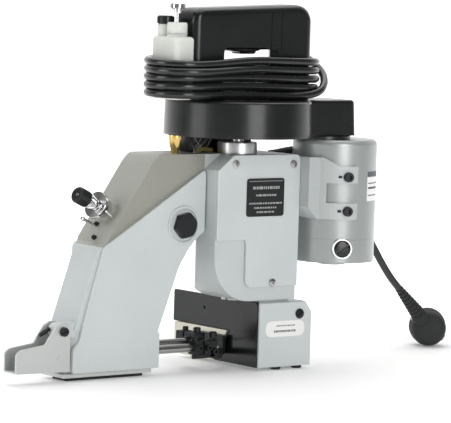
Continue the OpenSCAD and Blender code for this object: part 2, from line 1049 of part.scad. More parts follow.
module pump_plunger() {
    color("#d9dbdc")
        seat() {
            rod_z(280, 336, 1.5, [bottle_x, neck_y]);
            rod_z(336.5, 342, 6.6, [bottle_x, neck_y]);
            rod_z(332.5, 337, 3.9, [bottle_x, neck_y]);
            rod_z(292, 296, 4.5, [bottle_x, neck_y]);
        }
}

// ---- cord ----

module cord_gland() {
    color("#1a1b1c")
        seat() {
            block([18, grip_half, gland_z - 6], [32, 30, gland_z + 6]);
            rod_x(18, 33, 6.5, [30, gland_z]);
            translate([33, 30, gland_z])
                rotate([0, 90, 0])
                    cylinder(h = gland_end - 33, r1 = 6, r2 = cord_d / 2 + 0.4);
        }
}

module racetrack(r) {
    for (x = [wind_left, wind_right])
        translate([x, 0])
            circle(r = r);
    translate([wind_left, -r])
        square([wind_right - wind_left, 2 * r]);
}

module cord_winding() {
    color("#17191a")
        seat()
            linear_extrude_at(wind_low, wind_high)
                difference() {
                    racetrack(wind_r + cord_d / 2);
                    racetrack(wind_r - cord_d / 2);
                }
}

// a tube swept along a route that stays near level or near the xz plane
sides = 10;

function unit(v) = v / norm(v);
function along(p, i) = unit(p[min(i + 1, len(p) - 1)] - p[max(i - 1, 0)]);
function across(t) = unit(cross(t, abs(t[2]) < 0.5 ? [0, 0, 1] : [0, 1, 0]));
function tube_ring(p, i, side, r) =
    let (t = along(p, i), a = unit(cross(t, side)), b = cross(t, a))
        [for (k = [0:sides - 1]) p[i] + r * (a * cos(360 * k / sides) + b * sin(360 * k / sides))];

module tube(p, side, r) {
    n = len(p);
    points = [for (i = [0:n - 1]) each tube_ring(p, i, side, r)];
    walls = [
        for (i = [0:n - 2])
            for (k = [0:sides - 1])
                let (a = i * sides + k, b = i * sides + (k + 1) % sides)
                    each [[a, b, b + sides], [a, b + sides, a + sides]]
    ];
    caps = [
        [for (k = [0:sides - 1]) sides - 1 - k],
        [for (k = [0:sides - 1]) (n - 1) * sides + k]
    ];
    polyhedron(points = points, faces = concat(walls, caps));
}

module cord_lead() {
    color("#17191a")
        seat()
            tube(lead_route, [0, 0, 1], cord_d / 2);
}

module cord_tail() {
    color("#17191a")
        seat()
            tube(tail_route, [0, 1, 0], cord_d / 2);
}

module plug_frame() {
    translate(plug_at)
        rotate([0, 0, plug_turn])
            children();
}

module plug_body() {
    color("#1b1d1e")
        seat() {
            plug_frame()
                rod_x(-9, 24, plug_r, [0, 0]);
            // sleeve towards the cord
            translate([250, 47, 58])
                rotate([0, 135, 0])
                    cylinder(h = 44, r1 = 4.6, r2 = 8);
        }
}

module plug_contacts() {
    color("#c9cbcc")
        seat()
            plug_frame()
                for (y = [-9.5, 9.5])
                    rod_x(24, 43, 2.4, [y, 0]);
}

body_casting();
arm_casting();
arm_front_cover();
arm_pivot_bolt();
rubber_feet();
body_front_cover();
cover_screws();
nameplate();
lower_housing();
lower_front_cover();
throat_side_cover();
throat_plate();
bearing_cap();
main_bearings();
cover_bracket();
belt_cover_base();
belt_cover();
timing_belt();
handle_front_shell();
handle_rear_shell();
oil_bottle();
bottle_bracket();
oil_fitting();
oil_tubes();
motor_housing();
motor_end_cap();
motor_stator();
brush_caps();
motor_clamp();
clamp_screws();
motor_lead();
bar_bushes();
arm_base_plate();
tension_post();
thread_hook();
lever_pivot_screw();
cord_gland();
cord_lead();
cord_winding();
cord_tail();
plug_body();
plug_contacts();
main_shaft();
drive_pulley();
motor_armature();
motor_pulley();
needle_lever();
needle_bar();
needle_clamp();
needle();
presser_bar();
presser_foot();
lifter_lever();
looper();
feed_dog();
trigger();
pump_plunger();
tension_knob();
tension_discs();
filler_cap();
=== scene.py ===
"""Looks of the hand-held bag closing sewing machine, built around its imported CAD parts."""

import json
import math
import random

import bmesh
import bpy
from mathutils import Matrix, Vector

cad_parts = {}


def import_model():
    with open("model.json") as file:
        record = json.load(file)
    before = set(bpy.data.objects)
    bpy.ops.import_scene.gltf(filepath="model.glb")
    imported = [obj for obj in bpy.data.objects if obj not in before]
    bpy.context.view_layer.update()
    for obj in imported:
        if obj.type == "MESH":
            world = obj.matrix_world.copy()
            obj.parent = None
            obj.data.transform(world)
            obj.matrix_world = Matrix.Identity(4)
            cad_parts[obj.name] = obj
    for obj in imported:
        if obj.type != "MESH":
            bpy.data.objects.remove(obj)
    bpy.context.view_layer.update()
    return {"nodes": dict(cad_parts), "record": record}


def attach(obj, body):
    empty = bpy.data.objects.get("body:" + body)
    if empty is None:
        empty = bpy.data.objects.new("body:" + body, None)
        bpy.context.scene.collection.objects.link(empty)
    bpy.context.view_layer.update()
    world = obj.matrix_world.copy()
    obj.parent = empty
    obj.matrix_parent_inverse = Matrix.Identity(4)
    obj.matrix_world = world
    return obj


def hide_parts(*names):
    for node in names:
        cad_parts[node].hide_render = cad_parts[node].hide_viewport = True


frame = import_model()
random.seed(7)

# Lengths below are in millimetres from the main shaft's axis and the housing's underside.
# AT turns them into the row's frame, in metres.
MM = 0.001
AT = Matrix.Scale(MM, 4) @ Matrix.Translation((-45, 0, 3))


def world(x, y, z):
    return AT @ Vector((x, y, z))


# ---------------------------------------------------------------- camera

scene = bpy.context.scene
CAM_RIGHT = Vector((0.788, -0.6157, 0.0))
CAM_BACK = Vector((-0.6136, -0.7854, 0.0819))


def make_camera():
    right = CAM_RIGHT.normalized()
    up = CAM_BACK.cross(right).normalized()
    back = right.cross(up)
    roll = math.radians(1.7)
    r = right * math.cos(roll) + up * math.sin(roll)
    u = up * math.cos(roll) - right * math.sin(roll)
    data = bpy.data.cameras.new("camera")
    data.sensor_width = 36
    data.lens = 239.47
    data.clip_start = 0.1
    data.clip_end = 50
    cam = bpy.data.objects.new("camera", data)
    m = Matrix((r, u, back)).transposed().to_4x4()
    m.translation = world(-1740.9, -2213.2, 378.0)
    cam.matrix_world = m
    scene.collection.objects.link(cam)
    scene.camera = cam


make_camera()

# ---------------------------------------------------------------- materials


class Nodes:
    """A small helper that adds and joins shader nodes."""

    def __init__(self, material):
        material.use_nodes = True
        self.tree = material.node_tree
        self.shader = self.tree.nodes["Principled BSDF"]

    def add(self, kind, **values):
        node = self.tree.nodes.new(kind)
        for key, value in values.items():
            if key in node.inputs:
                node.inputs[key].default_value = value
            else:
                setattr(node, key, value)
        return node

    def join(self, a, out, b, into):
        self.tree.links.new(a.outputs[out], b.inputs[into])


def finish_material(name, color, rough=0.4, metal=0.0, vary=0.06, grain=300.0, bump=0.03,
                    coat=0.0, edge=0.0, stretch=(1, 1, 1), rough_vary=0.08, detail=3.0,
                    transmission=0.0, sheen=0.0, dust=0.0, ior=1.45, subsurface=0.0):
    """A procedural finish: colour and roughness wander a little, with a fine grain in the surface."""
    material = bpy.data.materials.new(name)
    n = Nodes(material)
    place = n.add("ShaderNodeTexCoord")
    scale = n.add("ShaderNodeMapping")
    scale.inputs["Scale"].default_value = stretch
    n.join(place, "Object", scale, "Vector")
    broad = n.add("ShaderNodeTexNoise", Scale=14.0, Detail=2.0, Roughness=0.5)
    fine = n.add("ShaderNodeTexNoise", Scale=grain, Detail=detail, Roughness=0.55)
    n.join(place, "Object", broad, "Vector")
    n.join(scale, "Vector", fine, "Vector")
    both = n.add("ShaderNodeMath", operation="ADD")
    n.join(broad, "Fac", both, 0)
    n.join(fine, "Fac", both, 1)
    span = n.add("ShaderNodeMapRange")
    span.inputs["From Min"].default_value = 0.6
    span.inputs["From Max"].default_value = 1.4
    n.join(both, 0, span, "Value")
    dark = [max(0.0, c * (1 - vary)) for c in color] + [1]
    light = [min(1.0, c * (1 + vary)) for c in color] + [1]
    mix = n.add("ShaderNodeMix", data_type="RGBA")
    mix.inputs[6].default_value = dark
    mix.inputs[7].default_value = light
    n.join(span, "Result", mix, 0)
    n.tree.links.new(mix.outputs[2], n.shader.inputs["Base Color"])
    wear = n.add("ShaderNodeMapRange")
    wear.inputs["From Min"].default_value = 0.3
    wear.inputs["From Max"].default_value = 0.7
    wear.inputs["To Min"].default_value = max(0.02, rough - rough_vary)
    wear.inputs["To Max"].default_value = min(1.0, rough + rough_vary)
    n.join(broad, "Fac", wear, "Value")
    n.join(wear, "Result", n.shader, "Roughness")
    relief = n.add("ShaderNodeBump", Strength=bump, Distance=0.0004)
    n.join(fine, "Fac", relief, "Height")
    if edge:
        soft = n.add("ShaderNodeBevel", samples=4)
        soft.inputs["Radius"].default_value = edge * MM
        n.join(soft, "Normal", relief, "Normal")
    n.join(relief, "Normal", n.shader, "Normal")
    n.shader.inputs["Metallic"].default_value = metal
    n.shader.inputs["IOR"].default_value = ior
    n.shader.inputs["Coat Weight"].default_value = coat
    n.shader.inputs["Coat Roughness"].default_value = 0.12
    n.shader.inputs["Transmission Weight"].default_value = transmission
    n.shader.inputs["Sheen Weight"].default_value = sheen
    if subsurface:
        n.shader.inputs["Subsurface Weight"].default_value = subsurface
        n.shader.inputs["Subsurface Radius"].default_value = (0.02, 0.02, 0.018)
        n.shader.inputs["Subsurface Scale"].default_value = 0.4
    return material


F = {
    "painted_casting": finish_material("casting_paint", (0.56, 0.60, 0.60), 0.40, 0.15, grain=900, bump=0.05),
    # arm_paint: a darker tone for the arm's faces looking to -Y, painted shade; the arm has the same silver paint as
    # the covers
    "arm_paint": finish_material("arm_paint", (0.33, 0.33, 0.295), 0.45, 0.15, grain=700, bump=0.08),
    "cover_plate": finish_material("cover_paint", (0.60, 0.645, 0.645), 0.40, 0.12, grain=900, bump=0.03),
    "black_oxide": finish_material("black_oxide", (0.025, 0.026, 0.028), 0.38, 0.6, grain=600, bump=0.05),
    "rubber": finish_material("rubber", (0.016, 0.017, 0.018), 0.62, 0.0, grain=900, bump=0.12),
    "steel_fastener": finish_material("steel_fastener", (0.50, 0.50, 0.50), 0.30, 1.0, grain=500, bump=0.04),
    "black_anodised": finish_material("black_anodised", (0.014, 0.016, 0.017), 0.34, 0.2, grain=900, bump=0.05),
    "black_plastic": finish_material("black_plastic", (0.0065, 0.0078, 0.008), 0.27, 0.0, grain=700, bump=0.05,
                                     coat=0.15),
    "polished_steel": finish_material("polished_steel", (0.42, 0.42, 0.41), 0.24, 1.0, grain=400, bump=0.02,
                                      stretch=(1, 12, 12)),
    "turned_aluminium": finish_material("turned_aluminium", (0.66, 0.67, 0.68), 0.30, 1.0, grain=260, bump=0.05,
                                        stretch=(1, 1, 14)),
    "bottle_plastic": finish_material("bottle_plastic", (0.70, 0.72, 0.68), 0.42, 0.0, grain=200, bump=0.03,
                                      subsurface=0.6, vary=0.02),
    "brass": finish_material("brass", (0.72, 0.50, 0.18), 0.22, 1.0, grain=300, bump=0.04),
    "clear_tube": finish_material("clear_tube", (0.86, 0.88, 0.82), 0.12, 0.0, transmission=0.85, vary=0.02),
    "motor_paint": finish_material("motor_paint", (0.40, 0.42, 0.42), 0.34, 0.45, grain=900, bump=0.05),
    "lamination_steel": finish_material("lamination_steel", (0.20, 0.20, 0.21), 0.5, 0.9, stretch=(1, 1, 30)),
    "chrome_steel": finish_material("chrome_steel", (0.80, 0.80, 0.81), 0.10, 1.0, vary=0.02, bump=0.01),
    "cord_sheath": finish_material("cord_sheath", (0.010, 0.011, 0.012), 0.26, 0.0, grain=500, bump=0.05,
                                   coat=0.35),
    "copper_winding": finish_material("copper_winding", (0.50, 0.24, 0.10), 0.4, 0.9, stretch=(1, 1, 20)),
    "pressed_steel": finish_material("pressed_steel", (0.58, 0.60, 0.59), 0.34, 0.55, grain=500, bump=0.05),
}
# the arm's sloping faces get a darker taupe tone: painted shade and reflection on the same silver paint as the covers
M_SLOPE_SHADE = finish_material("slope_painted_shade", (0.40, 0.405, 0.368), 0.46, 0.15, grain=800, bump=0.05)
M_CLAMP = finish_material("clamp_paint", (0.50, 0.53, 0.53), 0.40, 0.15, grain=900, bump=0.03)
M_STICKER = finish_material("sticker_film", (0.88, 0.88, 0.87), 0.35, 0.0, vary=0.02, bump=0.01)
M_PRINT = finish_material("sticker_print", (0.10, 0.11, 0.12), 0.5, 0.0, vary=0.1)
M_CREAM = finish_material("throat_steel", (0.66, 0.64, 0.55), 0.30, 0.7, grain=300, bump=0.03, stretch=(1, 10, 10))
M_GREY = finish_material("earth_clip", (0.25, 0.26, 0.27), 0.35, 0.9)
M_AMBER = finish_material("amber_tube", (0.45, 0.36, 0.10), 0.2, 0.0, transmission=0.4, vary=0.05)

# ---------------------------------------------------------------- shapes


def arc(c, r, a0, a1, n=6):
    return [(c[0] + r * math.cos(math.radians(a0 + (a1 - a0) * i / n)),
             c[1] + r * math.sin(math.radians(a0 + (a1 - a0) * i / n))) for i in range(n + 1)]


def rounded(points, radii, n=5):
    """The outline with its corners rounded: one radius for all, or one for each corner."""
    count = len(points)
    if not hasattr(radii, "__len__"):
        radii = [radii] * count
    out = []
    for i, p in enumerate(points):
        a, b = Vector(points[i - 1]), Vector(points[(i + 1) % count])
        p = Vector(p)
        r = radii[i]
        if r <= 0:
            out.append(tuple(p))
            continue
        u, v = (a - p).normalized(), (b - p).normalized()
        half = u.angle(v) / 2
        if half > math.pi / 2 - 0.03:
            out.append(tuple(p))
            continue
        reach = min(r / math.tan(half), (a - p).length * 0.49, (b - p).length * 0.49)
        for k in range(n + 1):
            t = k / n
            # a smooth corner curve through the two tangent points
            out.append(tuple((p + u * reach) * (1 - t) ** 2 + p * 2 * t * (1 - t) + (p + v * reach) * t ** 2))
    return out


def prism(points, a, b, axis="y"):
    put = {"y": lambda p, t: (p[0], t, p[1]), "x": lambda p, t: (t, p[0], p[1]),
           "z": lambda p, t: (p[0], p[1], t)}[axis]
    bm = bmesh.new()
    lo = [bm.verts.new(put(p, a)) for p in points]
    hi = [bm.verts.new(put(p, b)) for p in points]
    bm.faces.new(lo)
    bm.faces.new(hi[::-1])
    for i in range(len(points)):
        j = (i + 1) % len(points)
        bm.faces.new((lo[i], hi[i], hi[j], lo[j]))
    bmesh.ops.recalc_face_normals(bm, faces=bm.faces)
    return bm


def brick(lo, hi):
    return prism([(lo[0], lo[1]), (hi[0], lo[1]), (hi[0], hi[1]), (lo[0], hi[1])], lo[2], hi[2], "z")


def turned(profile, steps=48, loop=False):
    """A solid of revolution about Z from (radius, height) points; loop joins the last to the first."""
    bm = bmesh.new()
    rings = []
    for r, z in profile:
        if r < 1e-6:
            rings.append([bm.verts.new((0, 0, z))])
        else:
            rings.append([bm.verts.new((r * math.cos(2 * math.pi * k / steps),
                                        r * math.sin(2 * math.pi * k / steps), z)) for k in range(steps)])
    pairs = list(zip(rings, rings[1:])) + ([(rings[-1], rings[0])] if loop else [])
    for a, b in pairs:
        for k in range(steps):
            j = (k + 1) % steps
            if len(a) == 1 and len(b) == 1:
                continue
            if len(a) == 1:
                bm.faces.new((a[0], b[j], b[k]))
            elif len(b) == 1:
                bm.faces.new((a[k], a[j], b[0]))
            else:
                bm.faces.new((a[k], a[j], b[j], b[k]))
    if not loop:
        for ring in (rings[0], rings[-1]):
            if len(ring) > 1:
                bm.faces.new(ring)
    bmesh.ops.recalc_face_normals(bm, faces=bm.faces)
    return bm


def disc(r, z0, z1, soft=0.0, steps=48, bore=0.0):
    """A round solid from z0 to z1, with softened rims and an optional bore."""
    s = soft
    outer = [(r, z0 + s), (r, z1 - s)]
    if s:
        outer = [(r - s, z0), (r - 0.3 * s, z0 + 0.3 * s)] + outer + [(r - 0.3 * s, z1 - 0.3 * s), (r - s, z1)]
    else:
        outer = [(r, z0), (r, z1)]
    if bore:
        return turned([(bore, z0)] + outer + [(bore, z1)], steps, loop=True)
    return turned([(0, z0)] + outer + [(0, z1)], steps)


def aim(origin, direction, turn=0.0):
    """The matrix that takes +Z to a direction, at an origin."""
    q = Vector(direction).normalized().to_track_quat("Z", "Y").to_matrix().to_4x4()
    return Matrix.Translation(origin) @ q @ Matrix.Rotation(math.radians(turn), 4, "Z")


def moved(bm, matrix):
    bm.transform(matrix)
    return bm


def loft(rings):
    """A solid through outlines that have the same number of points."""
    bm = bmesh.new()
    loops = [[bm.verts.new(p) for p in ring] for ring in rings]
    bm.faces.new(loops[0])
    bm.faces.new(loops[-1][::-1])
    for a, b in zip(loops, loops[1:]):
        for i in range(len(a)):
            j = (i + 1) % len(a)
            bm.faces.new((a[i], b[i], b[j], a[j]))
    bmesh.ops.recalc_face_normals(bm, faces=bm.faces)
    return bm


def merged(*parts):
    out = bmesh.new()
    for bm in parts:
        mesh = bpy.data.meshes.new("part")
        bm.to_mesh(mesh)
        out.from_mesh(mesh)
        bpy.data.meshes.remove(mesh)
        bm.free()
    return out


def as_object(bm):
    mesh = bpy.data.meshes.new("work")
    bm.to_mesh(mesh)
    bm.free()
    obj = bpy.data.objects.new("work", mesh)
    scene.collection.objects.link(obj)
    return obj


def evaluated(obj):
    """The object's mesh with its modifiers applied, as a new bmesh; the object goes away."""
    bpy.context.view_layer.update()
    mesh = bpy.data.meshes.new_from_object(obj.evaluated_get(bpy.context.evaluated_depsgraph_get()))
    bm = bmesh.new()
    bm.from_mesh(mesh)
    old = obj.data
    bpy.data.objects.remove(obj)
    bpy.data.meshes.remove(old)
    bpy.data.meshes.remove(mesh)
    return bm


def combine(kind, bm, *others):
    obj = as_object(bm)
    tools = [as_object(o) for o in others]
    for tool in tools:
        m = obj.modifiers.new("bool", "BOOLEAN")
        m.operation = kind
        m.solver = "EXACT"
        m.object = tool
    out = evaluated(obj)
    for tool in tools:
        mesh = tool.data
        bpy.data.objects.remove(tool)
        bpy.data.meshes.remove(mesh)
    return out


def cut(bm, *others):
    return combine("DIFFERENCE", bm, *others)


def fused(bm, *others):
    return combine("UNION", bm, *others)


def softened(bm, width, segments=3, angle=32):
    obj = as_object(bm)
    m = obj.modifiers.new("bevel", "BEVEL")
    m.width = width
    m.segments = segments
    m.limit_method = "ANGLE"
    m.angle_limit = math.radians(angle)
    m.use_clamp_overlap = True
    m.miter_outer = "MITER_ARC"
    return evaluated(obj)


def weigh_normals(obj):
    """Lets the large faces set the normals, so that flat faces shade flat beside their bevels."""
    m = obj.modifiers.new("normals", "WEIGHTED_NORMAL")
    m.keep_sharp = True
    bpy.context.view_layer.update()
    mesh = bpy.data.meshes.new_from_object(obj.evaluated_get(bpy.context.evaluated_depsgraph_get()))
    old = obj.data
    name = old.name
    obj.modifiers.clear()
    obj.data = mesh
    bpy.data.meshes.remove(old)
    mesh.name = name


def piece(name, bm, body, slot, nodes=(), soft=0.0, segments=3, material=None, sharp=38):
    """A finished piece of the machine: bevelled, shaded smooth up to an angle, riding on its body."""
    if soft:
        bm = softened(bm, soft, segments)
    mesh = bpy.data.meshes.new(name)
    bm.to_mesh(mesh)
    bm.free()
    mesh.transform(AT)
    mesh.polygons.foreach_set("use_smooth", [True] * len(mesh.polygons))
    mesh.set_sharp_from_angle(angle=math.radians(sharp))
    mesh.materials.append(material or F[slot])
    obj = bpy.data.objects.new(name, mesh)
    scene.collection.objects.link(obj)
    weigh_normals(obj)
    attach(obj, body)
    if nodes:
        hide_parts(*nodes)
    return obj


def swept(points, radius, sides=12, closed_ends=True):
    """A tube along points; radius is one number or one for each point."""
    pts = [Vector(p) for p in points]
    if not hasattr(radius, "__len__"):
        radius = [radius] * len(pts)
    bm = bmesh.new()
    rings = []
    side = None
    for i, p in enumerate(pts):
        t = (pts[min(i + 1, len(pts) - 1)] - pts[max(i - 1, 0)]).normalized()
        if side is None:
            side = t.orthogonal().normalized()
        side = (side - t * side.dot(t)).normalized()
        other = t.cross(side)
        rings.append([bm.verts.new(p + radius[i] * (side * math.cos(2 * math.pi * k / sides)
                                                    + other * math.sin(2 * math.pi * k / sides)))
                      for k in range(sides)])
    for a, b in zip(rings, rings[1:]):
        for k in range(sides):
            j = (k + 1) % sides
            bm.faces.new((a[k], a[j], b[j], b[k]))
    if closed_ends:
        bm.faces.new(rings[0])
        bm.faces.new(rings[-1])
    bmesh.ops.recalc_face_normals(bm, faces=bm.faces)
    return bm


def smooth_path(points, each=6):
    """A smooth curve through the points, sampled `each` times between two of them."""
    pts = [Vector(p) for p in points]
    out = []
    for i in range(len(pts) - 1):
        p0, p1, p2 = pts[max(i - 1, 0)], pts[i], pts[i + 1]
        p3 = pts[min(i + 2, len(pts) - 1)]
        for k in range(each):
            t = k / each
            out.append(0.5 * ((2 * p1) + (p2 - p0) * t + (2 * p0 - 5 * p1 + 4 * p2 - p3) * t * t
                              + (3 * p1 - p0 - 3 * p2 + p3) * t ** 3))
    out.append(pts[-1])
    return out


# ---------------------------------------------------------------- mains cord

CORD_R = 3.7
WIND_LEFT, WIND_RIGHT, WIND_R = -69.5, 53.5, 30.2
BOTTOM_STRAND, PITCH, TURNS = 257.0, 8.1, 5
# the lead joins the winding after this length of its first front run
LEAD_JOINS = 30


def bump(u, start, end):
    """Rises smoothly from 0 to 1 and back between two lengths."""
    if not start < u < end:
        return 0.0
    return 0.5 - 0.5 * math.cos(2 * math.pi * (u - start) / (end - start))


def winding_points():
    """The cord round the handle: clockwise seen from above, one pitch up in each turn."""
    straight = WIND_RIGHT - WIND_LEFT
    bend = math.pi * WIND_R
    around = 2 * (straight + bend)
    length = (TURNS - 1) * around + straight + 0.88 * bend
    points = []
    count = int(length / 9.0)
    for i in range(count + 1):
        s = length * i / count
        if s < LEAD_JOINS:
            continue
        turn, u = divmod(s, around)
        z = BOTTOM_STRAND + PITCH * s / around - (1.6 + 0.75 * turn) * bump(u, 60, 290)
        r = WIND_R + 0.2 * math.sin(s / 41.0)
        # the back runs lie a little lower, between the front ones
        z -= 4.4 * bump(u, 190, 425)
        # two strands hang loose on the front and round the left end
        if turn == TURNS - 1:
            z -= 3.0 * bump(u, 41, 190)
            r += 0.8 * bump(u, 41, 190)
        if turn == TURNS - 2:
            z -= 2.0 * bump(u, 41, 190)
            r += 5.9 * bump(u, 41, 190) + 6.5 * bump(u, 215, 350)
        if u < straight:
            x, y = WIND_RIGHT - u, -r
        elif u < straight + bend:
            a = math.radians(-90 - 180 * (u - straight) / bend)
            x, y = WIND_LEFT + r * math.cos(a), r * math.sin(a)
        elif u < 2 * straight + bend:
            x, y = WIND_LEFT + (u - straight - bend), r
        else:
            a = math.radians(90 - 180 * (u - 2 * straight - bend) / bend)
            x, y = WIND_RIGHT + r * math.cos(a), r * math.sin(a)
        points.append((x, y, z))
    return points


# from the strain relief round the outside of the right end, down to the lowest front strand
LEAD = [(55, 30, 303), (58, 30, 303), (66, 30, 302.5), (74, 28.5, 301), (82, 24.5, 298), (88.5, 17, 294),
        (91.5, 8, 289.5), (92, -2, 284), (90.5, -12, 278), (86, -21, 272), (79, -28.5, 266.5),
        (70.5, -33.5, 262), (60, -34.5, 259), (48, -33.2, 257.6), (36, -31.2, 257.2)]
TAIL = [(-62, 35.2, 290), (-50, 38, 287), (-35, 41, 281.5), (-20, 42.5, 276.5), (0, 41.5, 273.5),
        (20, 40, 272.3), (40, 39, 272), (58, 38.5, 272), (70, 38.5, 272), (80, 38.5, 272), (89, 38.6, 270.8),
        (97.4, 38.8, 267.3), (103.8, 39.2, 262.6), (108.6, 40, 257.1), (116.5, 41, 245.7), (125, 42, 233),
        (135, 43, 218.5), (145, 44, 204), (155, 45, 189), (166, 46, 172.5), (177, 47, 156), (188, 47, 139.5),
        (198, 47, 124.5), (207, 47, 111.3), (215.6, 47, 99), (226, 47, 84.7), (238, 47, 70), (250, 47, 58)]


def build_cord():
    points = LEAD + winding_points() + TAIL
    curve = bpy.data.curves.new("mains_cord", "CURVE")
    curve.dimensions = "3D"
    curve.bevel_depth = CORD_R * MM
    curve.bevel_resolution = 5
    curve.resolution_u = 6
    curve.use_fill_caps = True
    line = curve.splines.new("BEZIER")
    line.bezier_points.add(len(points) - 1)
    for b, p in zip(line.bezier_points, points):
        b.co = world(*p)
        b.handle_left_type = b.handle_right_type = "AUTO"
    curve.materials.append(F["cord_sheath"])
    obj = bpy.data.objects.new("mains_cord", curve)
    scene.collection.objects.link(obj)
    total = sum((world(*a) - world(*b)).length for a, b in zip(points, points[1:]))
    print("CORD about", round(total, 4), "m,", len(points), "points")
    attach(obj, "machine")
    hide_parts("cord_lead", "cord_winding", "cord_tail")
    return obj, total


cord, cord_length = build_cord()

# strain relief on the back of the handle, pointing +X
relief = [(6.6, 0), (6.6, 5), (5.9, 6)]
for k in range(6):
    z = 7.5 + 3.4 * k
    r = 5.8 - 0.22 * k
    relief += [(r, z), (r, z + 1.9), (r - 0.9, z + 2.1), (r - 0.9, z + 3.2)]
relief += [(4.35, 28), (4.0, 31)]
gland = moved(turned([(0, 0)] + relief + [(0, 31)], 32), aim((24, 30, 303), (1, 0, 0)))
boss = softened(brick((14, 16.5, 294.5), (34, 34, 311)), 3.2, 4)
gland_piece = piece("cord_strain_relief", merged(boss, gland), "machine", "rubber", ["cord_gland"])

# plug, lying on its rim with the pins away from the front
PLUG_AT = Vector((291.5, 47, 15.7))
PLUG_DIR = Vector((math.cos(math.radians(52)), math.sin(math.radians(52)), 0))
shell = [(0, -9.5), (10, -9.4), (13.5, -8.6), (16, -6.5), (17.4, -3), (17.9, 1)]
for k in range(5):
    z = 2.0 + 3.1 * k
    shell += [(17.9, z), (17.3, z + 0.5), (17.3, z + 1.4), (17.9, z + 1.9)]
shell += [(18.2, 18.5), (18.7, 19), (18.7, 23.4), (18.1, 24), (0, 24)]
plug_m = aim(PLUG_AT, PLUG_DIR)
head = moved(turned(shell, 56), plug_m)
sleeve = [(8.0, -3), (7.9, 3)]
for k in range(8):
    z = 4 + 4.5 * k
    r = 7.6 - 0.42 * k
    sleeve += [(r, z), (r, z + 2.7), (r - 0.9, z + 3.0), (r - 1.0, z + 4.2)]
sleeve += [(4.2, 41), (4.0, 44)]
SLEEVE_END = Vector((250, 47, 58))
SLEEVE_DIR = Vector((-1, 0, 1)).normalized()
boot = moved(turned([(0, -3)] + sleeve + [(0, 44)], 32), aim(SLEEVE_END - SLEEVE_DIR * 43, SLEEVE_DIR))
neck = moved(disc(8.6, -6, 4, 2.0), aim(SLEEVE_END - SLEEVE_DIR * 42, SLEEVE_DIR))
plug_piece = piece("mains_plug", merged(head, boot, neck), "machine", "rubber", ["plug_body"])
clips = []
up_axis = Vector((0, 0, 1))
side_axis = PLUG_DIR.cross(up_axis)
for sign in (-1, 1):
    clips.append(moved(softened(brick((-3.2, 17.2, 3), (3.2, 18.9, 24.4)), 0.4), plug_m
                       @ Matrix.Rotation(math.radians(90 * sign + 32), 4, "Z")))
clip_piece = piece("plug_earth_clips", merged(*clips), "machine", "chrome_steel", material=M_GREY)
pins = [moved(turned([(0, 0), (2.4, 0), (2.4, 17), (2.0, 18.6), (1.2, 19), (0, 19)], 20),
              aim(PLUG_AT + PLUG_DIR * 24 + side_axis * s, PLUG_DIR)) for s in (-9.5, 9.5)]
pin_piece = piece("plug_pins", merged(*pins), "machine", "chrome_steel", ["plug_contacts"])

# ---------------------------------------------------------------- body casting and covers

FRONT = -22
body_line = ([(-40, 202), (-40, 106)] + arc((2, 106), 42, 180, 270, 10)[1:] + [(57.5, 64), (57.5, 202)])
body = prism(rounded(body_line, [0] * (len(body_line) - 1) + [8], 5), FRONT, 45)
body = cut(body, prism([(-41, 187), (-39, 188.6), (-22, 202), (-21, 203), (-41, 203)], FRONT - 1, -3))
body = cut(body, prism([(-41, 7), (-40, 7), (-12, 45), (-12, 46), (-41, 46)], 60, 131, "z"))
body = cut(body, prism([(-41, 176), (-33, 176), (-33, 134), (-41, 134)], 4, 20))
body = cut(body, prism([(-42, 60), (-42, 92), (-12.4, 92), (-11, 83), (-7, 75), (0, 68), (6, 60)], 30, 46))
body = softened(body, 1.3, 3, 25)
inside = prism([(-31, 131), (-31, 182), (48, 182), (48, 84), (4, 84), (4, 131)], FRONT - 2, 32)
piece("body_casting_shell", cut(body, inside), "machine", "painted_casting", ["body_casting"])

cover_line = ([(-40, 122.5), (-40, 188), (-22, 202)] + arc((51.5, 196), 6, 90, 0, 5) + [(57.5, 77)]
              + arc((3, 85), 8, 270, 180, 6) + arc((-9, 118.5), 4, 0, 90, 4))
cover = prism(cover_line, FRONT - 3, FRONT)
piece("body_front_plate", cover, "machine", "cover_plate", ["body_front_cover"], soft=0.9)

low_line = [(16, 0), (76, 0), (76, 52), (68.5, 62), (16, 62)]
low = prism(low_line, FRONT, 45)
low = fused(low, brick((16, 44, 0), (62, 95, 50)), brick((18, -19, 61), (52, 30, 64)))
low = cut(low, prism([(20, 6), (20, 52), (70, 52), (70, 6)], FRONT + 3, 39), brick((20, 37, 6), (56, 89, 44)),
          brick((15, 18, 10), (24, 66, 30)))
piece("lower_housing_casting", low, "machine", "painted_casting", ["lower_housing"], soft=1.2)
plate = prism([(13.8, 0.2), (76.6, 0.2), (76.6, 51.5), (69, 61.5), (13.8, 61.5)], FRONT - 3, FRONT)
piece("lower_front_plate", plate, "machine", "cover_plate", ["lower_front_cover"], soft=0.8)


def screw(x, z, front, r, slot_turn=0.0, cross=False, dome=1.6, deep=8.0):
    """A screw head standing on a face that looks to -Y, with a slot or a cross cut in it."""
    head_bm = turned([(0, -deep), (r * 0.45, -deep), (r * 0.45, 0), (r, 0), (r, dome * 0.45),
                      (r * 0.9, dome * 0.8), (r * 0.6, dome), (0, dome * 1.08)], 32)
    tool = brick((-r * (0.55 if cross else 1.2), -r * 0.11, dome * 0.35),
                 (r * (0.55 if cross else 1.2), r * 0.11, dome * 2))
    tools = [moved(tool, Matrix.Rotation(math.radians(slot_turn), 4, "Z"))]
    if cross:
        other = brick((-r * 0.11, -r * 0.55, dome * 0.35), (r * 0.11, r * 0.55, dome * 2))
        tools.append(moved(other, Matrix.Rotation(math.radians(slot_turn), 4, "Z")))
    return moved(cut(head_bm, *tools), aim((x, front, z), (0, -1, 0)))


